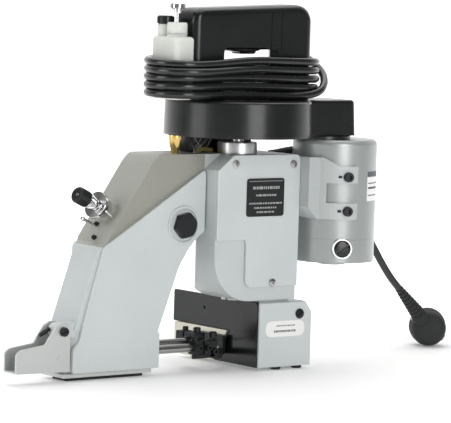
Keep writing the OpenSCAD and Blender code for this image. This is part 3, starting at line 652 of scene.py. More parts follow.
piece("cover_screws_pan", merged(screw(-20.3, 193.5, -25, 4, 20, True), screw(48.7, 192.7, -25, 4, 50, True),
                                 screw(27, 81, -25, 4, 35, True)),
      "machine", "steel_fastener", ["cover_screws"])
piece("lower_cover_screw", screw(61.5, 50, -25, 4.8, 28, False, 2.2), "machine", "black_oxide")

plate_line = rounded([(-6.8, 144), (37.7, 144), (37.7, 179.8), (-6.8, 179.8)], 3, 4)
piece("nameplate_panel", prism(plate_line, -26, -25), "machine", "black_anodised", ["nameplate"], soft=0.25)
rows = [brick((-4.5, -26.1, 177), (35.4, -26, 177.5))]
for x0, x1, z, h in ((0, 32, 171.0, 2.6), (4, 28, 164.0, 1.8), (-4, 35, 156.4, 1.5), (2, 30, 152.2, 1.5),
                     (5, 26, 148.2, 1.5)):
    x = x0
    while x < x1 - 1.0:
        w = min(random.choice((1.6, 2.4, 3.2, 4.4)), x1 - x)
        rows.append(brick((x, -26.1, z - h / 2), (x + w, -26, z + h / 2)))
        x += w + 0.9
piece("nameplate_marks", merged(*rows), "machine", "black_anodised",
      material=finish_material("plate_marks", (0.42, 0.43, 0.43), 0.4, 0.4))

sticker = rounded([(21, 29), (68, 29), (68, 44), (21, 44)], 7.3, 7)
piece("serial_label", prism(sticker, -25.3, -25), "machine", "cover_plate", material=M_STICKER)
marks = []
for x0, x1, z, h in ((34, 55, 39.4, 1.1), (31, 58, 34.2, 2.0)):
    x = x0
    while x < x1 - 1.0:
        w = random.choice((1.1, 1.6, 2.2))
        marks.append(brick((x, -25.36, z - h / 2), (x + w, -25.3, z + h / 2)))
        x += w + 0.7
piece("serial_label_marks", merged(*marks), "machine", "cover_plate", material=M_PRINT)

# rubber feet
feet = [moved(turned([(0, -3), (4.2, -3), (5, -2), (5, 0.2), (0, 0.2)], 28), Matrix.Translation((x, y, 0)))
        for x, y in ((40.5, -17), (66, -17), (24, 84), (54, 84))]
feet += [moved(disc(8, -3, 0.1, 0.5), Matrix.Translation((45, 0, 0))),
         softened(brick((-188, 2, -3), (-102, 24, 0.7)), 0.5)]
piece("rubber_foot_pads", merged(*feet), "machine", "rubber", ["rubber_feet"])

base = softened(brick((-196, -5, 0.6), (-97, 30, 4.4)), 0.5, 2)
piece("arm_base_sheet", base, "machine", "pressed_steel", ["arm_base_plate"])

# ---------------------------------------------------------------- arm

arm_line = [(-40, 202), (-40, 131), (-50, 124), (-60, 112.5), (-69.5, 98), (-92, 40), (-90, 36), (-90, 4.4),
            (-190, 4.4), (-190, 30), (-185, 41), (-161, 112), (-157.5, 118), (-151, 121), (-100.5, 194),
            (-93, 202)]
arm_radii = [0, 0, 14, 0, 14, 3, 4, 2, 2, 14, 12, 8, 5, 4, 10, 10]
arm_line = rounded(arm_line, arm_radii, 5)
arm = prism(arm_line, -3, 45)
arm = cut(arm, prism([(35.5, -5), (50, -5), (50, 131.4), (35.5, 110)], -200, -30, "x"))
arm = cut(arm, brick((-50, 4, 136), (-39, 20, 174)))
# the leg's front left edge is cut away at an angle
arm = cut(arm, prism([(-200, -10), (-181, -3.0), (-191, 6), (-200, 14)], 0, 44, "z"))
arm = cut(arm, moved(turned([(0, -60), (5.05, -60), (5.05, 60), (0, 60)], 32), aim((-66, 20, 136.5), (0, 1, 0))))
arm = softened(arm, 1.4, 3, 25)
hollow = prism([(-46, 196), (-46, 134.5), (-54, 128), (-66, 115), (-76, 99), (-97, 38), (-97, 11),
                (-180, 11), (-180, 30), (-175, 42), (-152, 110), (-144, 117.5), (-96, 193)], -2, 27)
arm = cut(arm, hollow)
TENSION = Vector((-133.4, 20, 149))
TILT = math.radians(67)
YAW = math.radians(10)
POST = Vector((-math.sin(TILT) * math.cos(YAW), -math.sin(TILT) * math.sin(YAW), math.cos(TILT)))
arm = fused(arm, moved(turned([(0, -5), (11, -5), (10.9, 3), (10.3, 5.2), (9.2, 6), (0, 6)], 40), aim(TENSION, POST)))
lug = softened(prism(arc((-199, 44), 7, 100, 260, 8) + [(-180, 37), (-180, 51)], -2, 8), 0.7)
LEG_TOP = 118.6
arm_mesh = merged(arm, lug)
bmesh.ops.bisect_plane(arm_mesh, geom=arm_mesh.verts[:] + arm_mesh.edges[:] + arm_mesh.faces[:],
                       plane_co=(0, 0, LEG_TOP), plane_no=(0, 0, 1))
arm_piece = piece("arm_casting_shell", arm_mesh, "machine", "arm_paint", ["arm_casting"], material=M_SLOPE_SHADE)
# painted light and shade on one paint: the leg takes the covers' lighter tone and the faces looking to -Y above it the
# darker arm_paint tone
arm_piece.data.materials.append(F["cover_plate"])
arm_piece.data.materials.append(F["arm_paint"])
for face in arm_piece.data.polygons:
    if face.center.z < world(0, 0, LEG_TOP).z:
        face.material_index = 1
    elif face.normal.y < -0.7:
        face.material_index = 2

cover_pts = [(-41, 188.5), (-152.5, 119.8), (-155.5, 117), (-180.5, 34), (-187, 26), (-187.5, 4.6), (-90, 4.6),
             (-90, 36), (-92.2, 39), (-69.5, 98), (-60, 112.5), (-51, 123), (-41, 130.2)]
cover_radii = [3, 4, 3, 8, 6, 3, 2, 3, 3, 16, 10, 6, 2]
outer = rounded(cover_pts, cover_radii, 5)
arm_cover = softened(prism(outer, -7, -3.0), 1.3, 3)
piece("arm_front_plate", arm_cover, "machine", "cover_plate", ["arm_front_cover"])
ring = turned([(15.2, -1), (15.2, 0.6), (15.8, 1.4), (17.4, 1.6), (18.2, 0.9), (18.4, -1)], 56, loop=True)
washer = turned([(5.2, -1), (5.2, 0.9), (13.6, 0.9), (14.2, 0.4), (14.2, -1)], 48, loop=True)
piece("pivot_ring_boss", merged(moved(ring, aim((-66, -7, 136.5), (0, -1, 0))),
                                moved(washer, aim((-66, -7, 136.5), (0, -1, 0)))),
      "machine", "cover_plate")
hexagon = [(12.7 * math.cos(math.radians(60 * k)), 12.7 * math.sin(math.radians(60 * k))) for k in range(6)]
bolt = combine("INTERSECT", prism(hexagon, 0, 5.5, "z"),
               turned([(0, -0.1), (12.0, -0.1), (12.7, 0.6), (12.7, 3.9), (11.0, 5.5), (0, 5.8)], 48))
bolt = fused(bolt, turned([(0, -40), (5, -40), (5, 1), (0, 1)], 32))
piece("pivot_hex_bolt", moved(bolt, aim((-66, -7.9, 136.5), (0, -1, 0), 12)), "machine", "black_oxide",
      ["arm_pivot_bolt"], soft=0.3, segments=2)

# thread tension: boss washer, chrome discs, conical spring, knurled nut
piece("tension_post_rod", moved(turned([(0, -1), (2.5, -1), (2.5, 43), (1.8, 44), (0, 44)], 24), aim(TENSION, POST)),
      "machine", "chrome_steel", ["tension_post"])
collar = disc(5.4, 6, 14.6, 0.6, 40, bore=2.7)
piece("tension_collar", moved(collar, aim(TENSION, POST)), "machine", "black_oxide")
plate_a = turned([(2.7, 15.8), (4, 15.6), (8, 15.0), (12.6, 14.4), (12.8, 14.8), (8.2, 15.6), (4, 16.4),
                  (2.7, 16.4)], 48, loop=True)
plate_b = turned([(2.7, 16.6), (4, 16.8), (8, 17.4), (12.6, 18.0), (12.8, 17.6), (8.2, 16.9), (4, 16.2),
                  (2.7, 16.1)], 48, loop=True)
keeper = disc(5.2, 17.6, 18.8, 0.3, 32, bore=2.7)
piece("tension_disc_pair", moved(merged(plate_a, plate_b, keeper), aim(TENSION, POST)), "tension_stack",
      "chrome_steel", ["tension_discs"])
spring = []
for i in range(91):
    t = i / 90
    a = 2 * math.pi * 5.5 * t
    r = 4.2 + 3.0 * t
    spring.append((r * math.cos(a), r * math.sin(a), 19.4 + 10.2 * t))
piece("tension_cone_spring", moved(swept(spring, 0.55, 8), aim(TENSION, POST)), "tension_stack", "chrome_steel")
nut = turned([(2.7, 30.3), (6.6, 30.3), (7.2, 31), (7.2, 43.6), (6.5, 44.4), (2.7, 44.4)], 48, loop=True)
knurls = [moved(brick((6.6, -0.42, 31.4), (7.75, 0.42, 43.2)), Matrix.Rotation(math.radians(15 * k), 4, "Z"))
          for k in range(24)]
piece("tension_nut_knurled", moved(merged(nut, *knurls), aim(TENSION, POST)), "tension_nut", "black_anodised",
      ["tension_knob"], soft=0.15, segments=1)
hook = smooth_path([(-133, 8, 141), (-139, 7, 146), (-146, 9, 152), (-149, 16, 155), (-147, 23, 153),
                    (-141, 26, 147), (-137, 27, 143)], 5)
piece("thread_hook_wire", swept(hook, 1.1, 10), "machine", "chrome_steel")
HOOK = Vector((-141.5, 33, 137))
HOOK_AXIS = (-math.sin(TILT), 0, math.cos(TILT))
hook_rod = turned([(0, -1.5), (1.6, -1.5), (1.6, 9.4), (2.3, 10.8), (2.3, 12.4), (1.4, 13.6), (0, 13.8)], 24)
piece("thread_hook_rod", moved(hook_rod, aim(HOOK, HOOK_AXIS)), "machine", "chrome_steel", ["thread_hook"])
# two small eyelets pressed into the sloping front of the arm
EYELETS = ((-141.6, 25.9, 137.2), (-149.5, 18.2, 125.8))
SLOPE = Vector((-0.821, 0, 0.571))
for k, (x, y, z) in enumerate(EYELETS):
    eyelet = turned([(0.9, -1), (0.9, 1.0), (1.3, 1.5), (1.9, 1.5), (2.3, 1.0), (2.3, -1)], 28, loop=True)
    piece("thread_eyelet_%d" % k, moved(eyelet, aim((x, y, z), SLOPE)), "machine", "chrome_steel",
          material=F["black_oxide"])

# ---------------------------------------------------------------- throat, needle and presser

side_line = [(FRONT, 0.2), (43, 0.2), (20, 31.3), (109, 31.3), (109, 62), (FRONT, 62)]
side = prism(rounded(side_line, [0, 1, 1, 1, 2, 5], 4), 13, 16, "x")
side = cut(side, moved(disc(1.6, -5, 5), aim((14, 60, 49), (1, 0, 0))))
piece("throat_side_guard", side, "machine", "black_plastic", ["throat_side_cover"], soft=0.5)
throat = prism(rounded([(44.2, 0.2), (21.2, 31.1), (104, 31.1), (104, 0.2)], [1, 1, 2, 13], 6), 11, 16, "x")
throat = cut(throat, moved(disc(1.6, -6, 6), aim((13, 36, 20), (1, 0, 0))), brick((9, 43, 15), (17, 66, 19)))
piece("throat_needle_plate", throat, "machine", "polished_steel", ["throat_plate"], soft=0.5, material=M_CREAM)

clamp = cut(brick((-36, 10.6, 17), (-23.5, 40, 32)),
            moved(disc(3.55, -20, 20), aim((-29, 16, 24), (1, 0, 0))),
            moved(disc(1.55, -20, 20), aim((-29, 36, 20), (1, 0, 0))), brick((-37, 27, 26), (-21, 29, 33)))
clamp = softened(clamp, 0.9)
heads = [moved(turned([(0, 0), (3.6, 0), (3.6, 4.4), (3.0, 5), (1.6, 5), (1.6, 2.4), (0, 2.4)], 24),
               Matrix.Translation((-29, 16, 31.8))),
         moved(turned([(0, 0), (2.8, 0), (2.8, 3.4), (2.3, 4), (1.3, 4), (1.3, 2), (0, 2)], 24),
               Matrix.Translation((-29, 34, 31.8)))]
collar_nut = moved(disc(5.2, -43, -36.2, 0.7, 6, bore=3.5), aim((0, 16, 24), (1, 0, 0)))
piece("needle_clamp_block", merged(clamp, collar_nut, *heads), "needle_carrier", "black_oxide", ["needle_clamp"])
needle = turned([(0, -35), (1.5, -35), (1.5, -14), (1.0, -12.5), (1.0, 0), (0.75, 3), (0.1, 7), (0, 7)], 24)
piece("sewing_needle", moved(needle, aim((0, 36, 20), (1, 0, 0))), "needle_carrier", "chrome_steel", ["needle"])

foot_block = softened(cut(brick((-26, -1, 10), (-17, 10, 26)), moved(disc(4.05, -20, 20), aim((-19, 5, 19.5), (1, 0, 0)))),
                      0.9)
bracket = softened(cut(brick((-44, -2.5, 13), (-27, 9.6, 26.5)), brick((-38, -3, 12), (-33, 0.5, 27)),
                       moved(disc(4.05, -20, 20), aim((-35, 5, 19.5), (1, 0, 0)))), 0.8)
socket = [(0, -1), (3.2, -1), (3.2, 3.2), (2.7, 3.8), (1.5, 3.8), (1.5, 1.8), (0, 1.8)]
foot_heads = [moved(turned(socket, 24), aim((x, -2.5, 19.8), (0, -1, 0))) for x in (-41, -30)]
foot_heads += [moved(turned(socket, 24), Matrix.Translation((-41, 3, 26.5))),
               moved(turned(socket, 24), aim((-21.5, -1, 15.5), (0, -1, 0)))]
foot_blade = softened(brick((-46, -1, 9.5), (-18, 1.2, 13.5)), 0.5)
foot_web = softened(prism([(-20, -1.5), (-12, -1.5), (8, 22), (8, 34), (-20, 10)], 8.1, 13.5, "z"), 0.8)
foot_sole = prism(rounded([(22, 8), (68, 8), (68, 26), (22, 26)], [2, 6, 6, 2], 5), 7, 10, "x")
foot_sole = cut(foot_sole, moved(disc(2.6, -5, 5), aim((8, 36, 20), (1, 0, 0))), brick((6, 44, 15), (11, 60, 16.6)))
foot_sole = softened(foot_sole, 0.6)
foot_screw = moved(turned([(0, 0), (3.8, 0), (3.8, 5), (3.1, 5.7), (1.7, 5.7), (1.7, 3), (0, 3)], 24),
                   Matrix.Translation((-19, 4.5, 27.8)))
piece("presser_foot_shoe", merged(foot_block, foot_web, foot_sole, foot_screw, bracket, foot_blade, *foot_heads), "presser_carrier", "black_oxide",
      ["presser_foot"])
fork = softened(cut(brick((-210, 2, 12), (-193, 8, 29)), brick((-206, 1, 15), (-200, 9, 25.5))), 0.6)
rod = moved(disc(4, -194, -14, 0.6, 32), aim((0, 5, 19.5), (1, 0, 0)))
piece("presser_bar_rod", merged(rod, fork), "presser_carrier", "polished_steel", ["presser_bar"])
rod = moved(disc(3.5, -168, -22, 0.5, 32), aim((0, 16, 24), (1, 0, 0)))
block = softened(cut(brick((-150, 11, 19), (-138, 20, 44)), moved(disc(3.4, -20, 20), aim((-144, 16, 24), (1, 0, 0)))), 0.8)
piece("needle_bar_rod", merged(rod, block), "needle_carrier", "polished_steel", ["needle_bar"])
bushes = []
for yz, r, bore in (((16, 24), 5.4, 3.55), ((5, 19.5), 5.8, 4.05)):
    bushes.append(moved(disc(r, -104, -84.5, 0.5, 40, bore=bore), aim((0, yz[0], yz[1]), (1, 0, 0))))
piece("bar_guide_bushes", merged(*bushes), "machine", "polished_steel", ["bar_bushes"])

# ---------------------------------------------------------------- lifter lever

flange = rounded([(-250, 8), (-250, 26), (-245, 29.5), (-219, 33), (-208, 49), (-202, 52), (-196, 52), (-191.6, 48),
                  (-190.8, 7)], [2, 4, 5, 3, 4, 4, 3, 4, 1], 4)


def lever_sheet(y0, y1):
    sheet = cut(prism(flange, y0, y1), moved(disc(3.05, -20, 20), aim((-199, 2, 44), (0, 1, 0))))
    return softened(sheet, 0.5, 2)


lever = merged(lever_sheet(-8, -6), lever_sheet(10, 12), softened(brick((-249.5, -6.5, 8), (-216, 10.5, 10)), 0.4, 2))
pin = moved(disc(2, -8.5, 12.5, 0.3, 20), aim((-203, 0, 19.5), (0, 1, 0)))
piece("lifter_channel_lever", merged(lever, pin), "lifter", "pressed_steel", ["lifter_lever"])
pivot = turned([(0, -14), (3, -14), (3, 8.2), (4.3, 8.2), (4.3, 10.6), (3.7, 11.6), (0, 12)], 28)
pivot = cut(pivot, brick((-6, -0.5, 10.6), (6, 0.5, 14)))
nut_m = aim((-199, 0, 44), (0, -1, 0), 20)
pivot_nut = softened(prism([(5 * math.cos(math.radians(60 * k)), 5 * math.sin(math.radians(60 * k)))
                            for k in range(6)], -15, -12.2, "z"), 0.4)
stub = moved(disc(1.9, 0, 12, 0.5, 24), aim((-206, 4, 46), (-0.86, 0.1, -0.5)))
piece("lever_stop_pin", stub, "machine", "black_oxide")
piece("lever_pivot_pin", merged(moved(pivot, nut_m), moved(pivot_nut, nut_m)), "machine", "black_oxide",
      ["lever_pivot_screw"])

# ---------------------------------------------------------------- bearing cap, bracket, oil lines

cap = turned([(7, 0), (18.6, 0), (18.8, 0.6), (18.8, 10), (18.2, 11), (9.5, 11), (9, 9.4), (7, 9.4)],
             64, loop=True)
piece("shaft_bearing_cap", moved(cap, Matrix.Translation((0, 0, 202))), "machine", "turned_aluminium",
      ["bearing_cap"])
tapered = prism([(-41, 202), (31, 202), (34, 219), (-47, 219)], 20, 36)
piece("cover_support_bracket", tapered, "machine", "black_plastic", ["cover_bracket"], soft=0.9)
fitting = turned([(0, -3), (3, -3), (3.2, 0), (4.2, 4), (5.4, 8), (6.2, 12), (6.5, 15), (6.5, 17), (0, 17)], 36)
piece("oil_fitting_brass", moved(fitting, Matrix.Translation((-64, 12, 202))), "machine", "brass", ["oil_fitting"])
tubes = []
for x, lean, y in ((-42, 12, 12), (-38, 20, 14), (-30, -9, 15.5), (-24, 9, 17)):
    tubes.append(swept(smooth_path([(x, y, 202.2), (x + lean * 0.1, y, 206), (x + lean * 0.55, y + 1, 212),
                                    (x + lean, y + 2, 218.8)], 5), 0.55, 10))
piece("oil_feed_tubes", merged(*tubes), "machine", "clear_tube", ["oil_tubes"])
wedge = swept(smooth_path([(-34, 17.5, 202.6), (-28, 17.6, 205), (-22, 17.6, 204.4), (-16, 17.8, 204)], 4), 2.2, 10)
piece("amber_oil_line", wedge, "machine", "clear_tube", material=M_AMBER)

# ---------------------------------------------------------------- belt cover


def cover_outline(inset):
    r = 70 - inset
    x1, y0, y1 = 121.5 - inset, -30 + inset, 14 - inset
    a0 = math.degrees(math.asin(y1 / r))
    a1 = 360 + math.degrees(math.asin(y0 / r))
    return (arc((0, 0), r, a0, a1, 84)
            + rounded([(x1 - 20, y0), (x1, y0), (x1, y1), (x1 - 20, y1)], [0, 6, 6, 0], 5)[0:14])


def drafted(bm):
    """Draws the sides in a little towards the top."""
    for v in bm.verts:
        t = (v.co.z - 219) / 34
        v.co.x *= 1 - 0.015 * t
        v.co.y *= 1 - 0.015 * t
    return bm


lid = softened(prism(cover_outline(0), 216, 253, "z"), 3.0, 4, 50)
lid = cut(lid, brick((-80, -80, 210), (130, 80, 221.5)), prism(cover_outline(2.5), 210, 250.5, "z"))
piece("belt_cover_lid", drafted(lid), "machine", "black_plastic", ["belt_cover"])
floor_plate = cut(prism(cover_outline(0), 219, 221.5, "z"), disc(8, 215, 225),
                  moved(disc(6, 215, 225), Matrix.Translation((108, -14, 0))))
piece("belt_cover_floor", floor_plate, "machine", "black_plastic", ["belt_cover_base"])

# ---------------------------------------------------------------- handle

outline = rounded([(-66, 246), (76, 246), (75, 343), (-66, 337.4)], [0, 0, 20, 13], 8)
plan = rounded([(-66, -17), (75.8, -17), (75.8, 17), (-66, 17)], [8, 11, 11, 8], 6)


def window_ring(y, grow):
    corners = [(-30 - grow, 258 - grow), (20 + grow, 258 - grow), (20 + grow, 300 + grow), (-30 - grow, 300 + grow)]
    return [(x, y, z) for x, z in rounded(corners, 4 + grow, 5)]


flare = [(18, 4.0), (17, 2.5), (16.1, 1.1), (15.2, 0.35), (14.4, 0)]
window = loft([window_ring(-y, g) for y, g in flare] + [window_ring(y, g) for y, g in flare[::-1]])
grip = softened(prism(outline, -17, 17), 7.5, 6, 40)
grip = combine("INTERSECT", grip, prism(plan, 240, 350, "z"))
slant = prism([(0, -17.2), (22, -17.2), (48, 17.2), (0, 17.2)], 258.1, 300, "z")
grip = cut(grip, window, slant, brick((-90, -40, 230), (90, 40, 253)))
grip = cut(grip, brick((23.7, -18, 300), (24.3, -16.6, 336)), brick((35.7, -18, 300), (36.3, -16.6, 336)))
grip = cut(grip, brick((-19.6, -8.2, 290), (21.6, 8.2, 305.5)), brick((-24, -11, 304), (26, 11, 331)))
ribs = [brick((23 + 2.6 * k, -17.4, 296), (24.2 + 2.6 * k, -15.9, 300)) for k in range(4)]
grip = cut(grip, *ribs)


def half_space(y0, y1):
    return brick((-120, y0, 230), (120, y1, 360))


obj_front = combine("INTERSECT", grip.copy(), half_space(-40, -0.15))
obj_rear = combine("INTERSECT", grip, half_space(0.15, 40))
piece("handle_shell_front", obj_front, "machine", "black_plastic", ["handle_front_shell"])
piece("handle_shell_rear", obj_rear, "machine", "black_plastic", ["handle_rear_shell"])
trig_line = arc((1, 366.8), 70, 254.7, 285.3, 14) + [(20, 304.5), (-18, 304.5)]
trig = softened(prism(trig_line, -7.5, 7.5), 1.4, 3)
trig_back = softened(brick((-22, -10, 304.4), (24, 10, 306.4)), 0.4)
piece("trigger_paddle", merged(trig, trig_back), "trigger_key", "black_plastic", ["trigger"])

# ---------------------------------------------------------------- oil bottle


def bottle_line(grow):
    return rounded([(-89.5 - grow, -20 - grow), (-67.5 + grow, -20 - grow), (-67.5 + grow, 20 + grow),
                    (-89.5 - grow, 20 + grow)], 5.5 + grow, 6)


flask = softened(prism(bottle_line(0), 253.1, 311, "z"), 3.4, 4, 50)
flask = fused(flask, moved(turned([(0, 303), (9.4, 303), (9.4, 322.6), (8.6, 324), (0, 324)], 40),
                           Matrix.Translation((-78.5, -5.5, 0))),
              moved(turned([(0, 303), (7.2, 303), (7.2, 322), (0, 322)], 36), Matrix.Translation((-78.5, 12.5, 0))))
flask = cut(flask, moved(disc(1.65, 290, 330), Matrix.Translation((-78.5, -5.5, 0))))
piece("oil_bottle_flask", flask, "machine", "bottle_plastic", ["oil_bottle"])
seams = [moved(turned([(9.3, 313), (9.75, 313.2), (9.75, 314.4), (9.3, 314.6)], 40, loop=True),
               Matrix.Translation((-78.5, -5.5, 0)))]
piece("oil_bottle_neck_ring", merged(*seams), "machine", "bottle_plastic")
bracket = softened(brick((-67.45, -14, 254), (-66.05, 14, 304)), 0.3, 2)
piece("bottle_holder_strip", bracket, "machine", "black_oxide", ["bottle_bracket"])
lid_bm = turned([(0, 322.1), (7.0, 322.1), (7.5, 322.6), (7.5, 328.8), (6.8, 329.8), (0, 330)], 48)
teeth = [moved(brick((7.0, -0.55, 322.8), (8.0, 0.55, 328.8)), Matrix.Rotation(math.radians(20 * k), 4, "Z"))
         for k in range(18)]
piece("bottle_filler_cap", moved(merged(lid_bm, *teeth), Matrix.Translation((-78.5, 12.5, 0))), "bottle_cap",
      "black_plastic", ["filler_cap"], soft=0.2, segments=2)
stem = turned([(0, 292), (4.5, 292), (4.5, 296), (1.5, 296.2), (1.5, 332.5), (3.6, 332.5), (3.9, 333), (3.9, 336.6),
               (5.8, 336.6), (6.6, 337.2), (6.6, 341.2), (5.8, 342), (0, 342)], 48)
grips = [moved(brick((6.2, -0.3, 337.3), (6.95, 0.3, 341.0)), Matrix.Rotation(math.radians(12 * k), 4, "Z"))
         for k in range(30)]
piece("pump_knob_chrome", moved(merged(stem, *grips), Matrix.Translation((-78.5, -5.5, 0))), "oil_pump",
      "chrome_steel", ["pump_plunger"])

# ---------------------------------------------------------------- motor

MOTOR_X, MOTOR_Y, MOTOR_R = 108, -14, 40.5
MOTOR = Matrix.Translation((MOTOR_X, MOTOR_Y, 0))
can = [(37.4, 98.7), (39.4, 98.9), (40.5, 100.0), (40.5, 121.0), (40.25, 121.3), (40.25, 121.9), (40.5, 122.2),
       (40.5, 210.5), (39.9, 213.4), (37.6, 215.5), (3.2, 215.5), (3.2, 209.5), (37.4, 209.5)]
motor = moved(turned(can, 96, loop=True), MOTOR)
BRUSH = -116
for k in (0, 180):
    m = MOTOR @ Matrix.Translation((0, 0, 113)) @ Matrix.Rotation(math.radians(BRUSH + k), 4, "Z") @ aim((0, 0, 0), (1, 0, 0))
    motor = cut(motor, moved(disc(8.25, 20, 60), m))
    seat = moved(turned([(8.3, 34), (10.0, 34), (10.0, 41.6), (9.4, 42.2), (8.3, 42.2)], 40, loop=True), m)
    knob = turned([(0, 22), (8.1, 22), (8.1, 42), (7.7, 43.2), (6.3, 43.9), (0, 44)], 40)
    knob = cut(knob, moved(brick((-9, -0.9, 42.2), (9, 0.9, 46)), Matrix.Rotation(math.radians(35), 4, "Z")))
    piece("brush_seat_%d" % (k // 180), seat, "machine", "turned_aluminium")
    piece("brush_cap_%d" % (k // 180), moved(knob, m), "machine", "black_plastic", ["brush_caps"] if k == 0 else [])
piece("motor_can", motor, "machine", "motor_paint", ["motor_housing"])
end_cap = turned([(0, 95), (12.5, 95), (14, 96), (14.5, 98.4), (35, 98.7), (37.3, 99.4), (37.3, 102.7), (0, 102.7)], 72)
piece("motor_end_bell", moved(end_cap, MOTOR), "machine", "motor_paint", ["motor_end_cap"])
# a black spacer ring on the motor's top that also serves as painted shade, darkening the gap under the belt cover where
# mostly shade falls
spacer_and_shade = cut(disc(26, 215.6, 219, 0.4, 64), moved(disc(6, 210, 225), Matrix.Translation((15, 0, 0))))
piece("motor_spacer_and_shade_ring", moved(spacer_and_shade, Matrix.Translation((MOTOR_X - 15, MOTOR_Y, 0))), "machine", "black_plastic")

# clamp: two straps round the front of the motor, with a window between them
CLAMP_R = 44
clamp_line = [(57.6, 152), (68, 141), (125, 141), (125, 191.5), (84, 191.5), (73, 199.3), (57.6, 199.5)]
strap = moved(prism([(0, 0)] + arc((0, 0), CLAMP_R, 154, 261.5, 48), 140, 200, "z"), MOTOR)
band = fused(strap, brick((57.6, -38, 140), (86, 8, 200)))
band = combine("INTERSECT", band, prism(clamp_line, -80, 8))
band = cut(band, moved(disc(MOTOR_R + 0.1, 130, 205, steps=96), MOTOR), brick((75, -80, 156.5), (125, -30, 175.5)))
piece("motor_clamp_band", band, "machine", "cover_plate", ["motor_clamp"], soft=0.6, sharp=30, material=M_CLAMP)


def on_motor(azimuth, z):
    """The matrix that takes +Z to the motor's outward direction at an azimuth and height."""
    return MOTOR @ Matrix.Translation((0, 0, z)) @ Matrix.Rotation(math.radians(azimuth), 4, "Z") @ aim((0, 0, 0), (1, 0, 0))


heads = []
washers = []
for z in (149, 181.5):
    heads.append(moved(turned([(0, 44.1), (4.6, 44.1), (4.6, 48.2), (4.1, 49), (2.5, 49), (2.5, 46.2), (0, 46.2)], 28),
                       on_motor(-112, z)))
    washers.append(moved(brick((-1.7, -1.2, 43.6), (1.7, 1.2, 44.6)), on_motor(-122, z)))
piece("clamp_cap_screws", merged(*heads), "machine", "black_oxide", ["clamp_screws"])
piece("clamp_slot_marks", merged(*washers), "machine", "black_oxide")


def motor_patch(a0, a1, z0, z1, out):
    """A thin patch of film on the motor between two azimuths."""
    skin = arc((MOTOR_X, MOTOR_Y), MOTOR_R + out, a0, a1, 14)
    under = arc((MOTOR_X, MOTOR_Y), MOTOR_R - 0.1, a1, a0, 14)
    return prism(skin + under, z0, z1, "z")


piece("motor_rating_label", motor_patch(-78, -30, 158, 186, 0.12), "machine", "motor_paint", material=M_STICKER)
piece("motor_label_header", merged(motor_patch(-78, -30, 181, 186, 0.2), motor_patch(-76, -40, 174.5, 175.5, 0.2),
                                   motor_patch(-76, -36, 169.5, 171.5, 0.2), motor_patch(-76, -44, 163, 164, 0.2)),
      "machine", "motor_paint", material=M_PRINT)
lead = smooth_path([(57.7, 24, 199), (66, 24, 199), (76, 24, 199.6), (86, 24, 200)], 5)
piece("motor_lead_boot", swept(lead, [3.4 + 2.6 * i / (len(lead) - 1) for i in range(len(lead))], 16), "machine",
      "rubber", ["motor_lead"])

# ---------------------------------------------------------------- CAD nodes kept as they are

record = frame["record"]
slots = {s["node"]: s["material_slot"] for s in record["subparts"]}
for name, obj in frame["nodes"].items():
    obj.data.materials.clear()
    obj.data.materials.append(F[slots[name]])

# ---------------------------------------------------------------- studio

floor_mesh = bpy.data.meshes.new("studio_floor")
bm = bmesh.new()
for x, y in ((-6, -6), (6, -6), (6, 6), (-6, 6)):
    bm.verts.new((x, y, 0))
bm.faces.new(bm.verts[:])
bm.to_mesh(floor_mesh)
bm.free()
floor = bpy.data.objects.new("studio_floor", floor_mesh)
scene.collection.objects.link(floor)


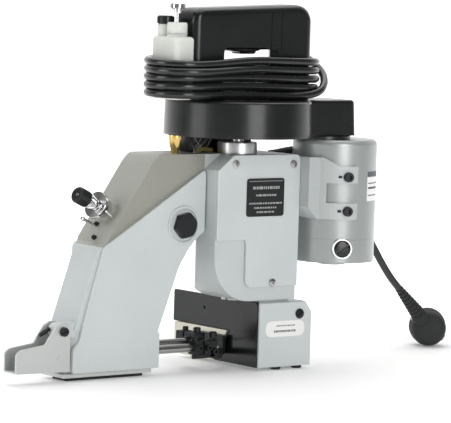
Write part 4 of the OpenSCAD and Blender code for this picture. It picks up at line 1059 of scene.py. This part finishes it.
def make_paper():
    """White paper that glows: strongly beyond the object, so that it meets the white room unseen, and a little
    everywhere, which lightens the shadows under the machine.
    """
    paper = finish_material("studio_paper", (0.94, 0.94, 0.94), 0.9, 0.0, vary=0.01, bump=0.0)
    n = Nodes(paper)
    place = n.add("ShaderNodeTexCoord")
    beyond = n.add("ShaderNodeVectorMath", operation="DOT_PRODUCT")
    n.join(place, "Object", beyond, 0)
    beyond.inputs[1].default_value = (0.61, 0.79, 0.0)
    span = n.add("ShaderNodeMapRange", interpolation_type="SMOOTHSTEP")
    span.inputs["From Min"].default_value = 0.1
    span.inputs["From Max"].default_value = 1.2
    # a little glow everywhere: painted light over the shadows under the machine
    span.inputs["To Min"].default_value = 0.14
    n.join(beyond, "Value", span, "Value")
    n.shader.inputs["Emission Color"].default_value = (1, 1, 1, 1)
    n.join(span, "Result", n.shader, "Emission Strength")
    return paper


floor_mesh.materials.append(make_paper())



def make_world():
    """Paper white beyond the object, falling to a warm grey room on the near side."""
    world_data = bpy.data.worlds.new("studio")
    world_data.use_nodes = True
    tree = world_data.node_tree
    place = tree.nodes.new("ShaderNodeTexCoord")
    dot = tree.nodes.new("ShaderNodeVectorMath")
    dot.operation = "DOT_PRODUCT"
    dot.inputs[1].default_value = (0.61, 0.79, 0.0)
    span = tree.nodes.new("ShaderNodeMapRange")
    span.interpolation_type = "SMOOTHSTEP"
    span.inputs["From Min"].default_value = 0.0
    span.inputs["From Max"].default_value = 0.9
    mix = tree.nodes.new("ShaderNodeMix")
    mix.data_type = "RGBA"
    mix.inputs[6].default_value = (0.13, 0.127, 0.12, 1)
    mix.inputs[7].default_value = (1, 1, 1, 1)
    tree.links.new(place.outputs["Generated"], dot.inputs[0])
    tree.links.new(dot.outputs["Value"], span.inputs["Value"])
    tree.links.new(span.outputs["Result"], mix.inputs[0])
    tree.links.new(mix.outputs[2], tree.nodes["Background"].inputs["Color"])
    tree.nodes["Background"].inputs["Strength"].default_value = 1.16
    return world_data


scene.world = make_world()


def softbox(name, place, target, size, power, tall=None):
    data = bpy.data.lights.new(name, "AREA")
    data.shape = "RECTANGLE"
    data.size = size
    data.size_y = tall or size
    data.energy = power
    obj = bpy.data.objects.new(name, data)
    spot = Vector(place)
    obj.matrix_world = Matrix.Translation(spot) @ (spot - Vector(target)).to_track_quat("Z", "Y").to_matrix().to_4x4()
    scene.collection.objects.link(obj)
    return obj


softbox("key_top", (0.2, 0.3, 2.2), (0, 0, 0.15), 2.4, 30)
softbox("left_wall", (-1.75, 0.34, 0.6), (0, 0, 0.15), 0.8, 12, 1.6)
softbox("front_wall", (-0.34, -1.75, 0.6), (0, 0, 0.15), 0.8, 17.5, 1.6)

scene.view_settings.view_transform = "Standard"
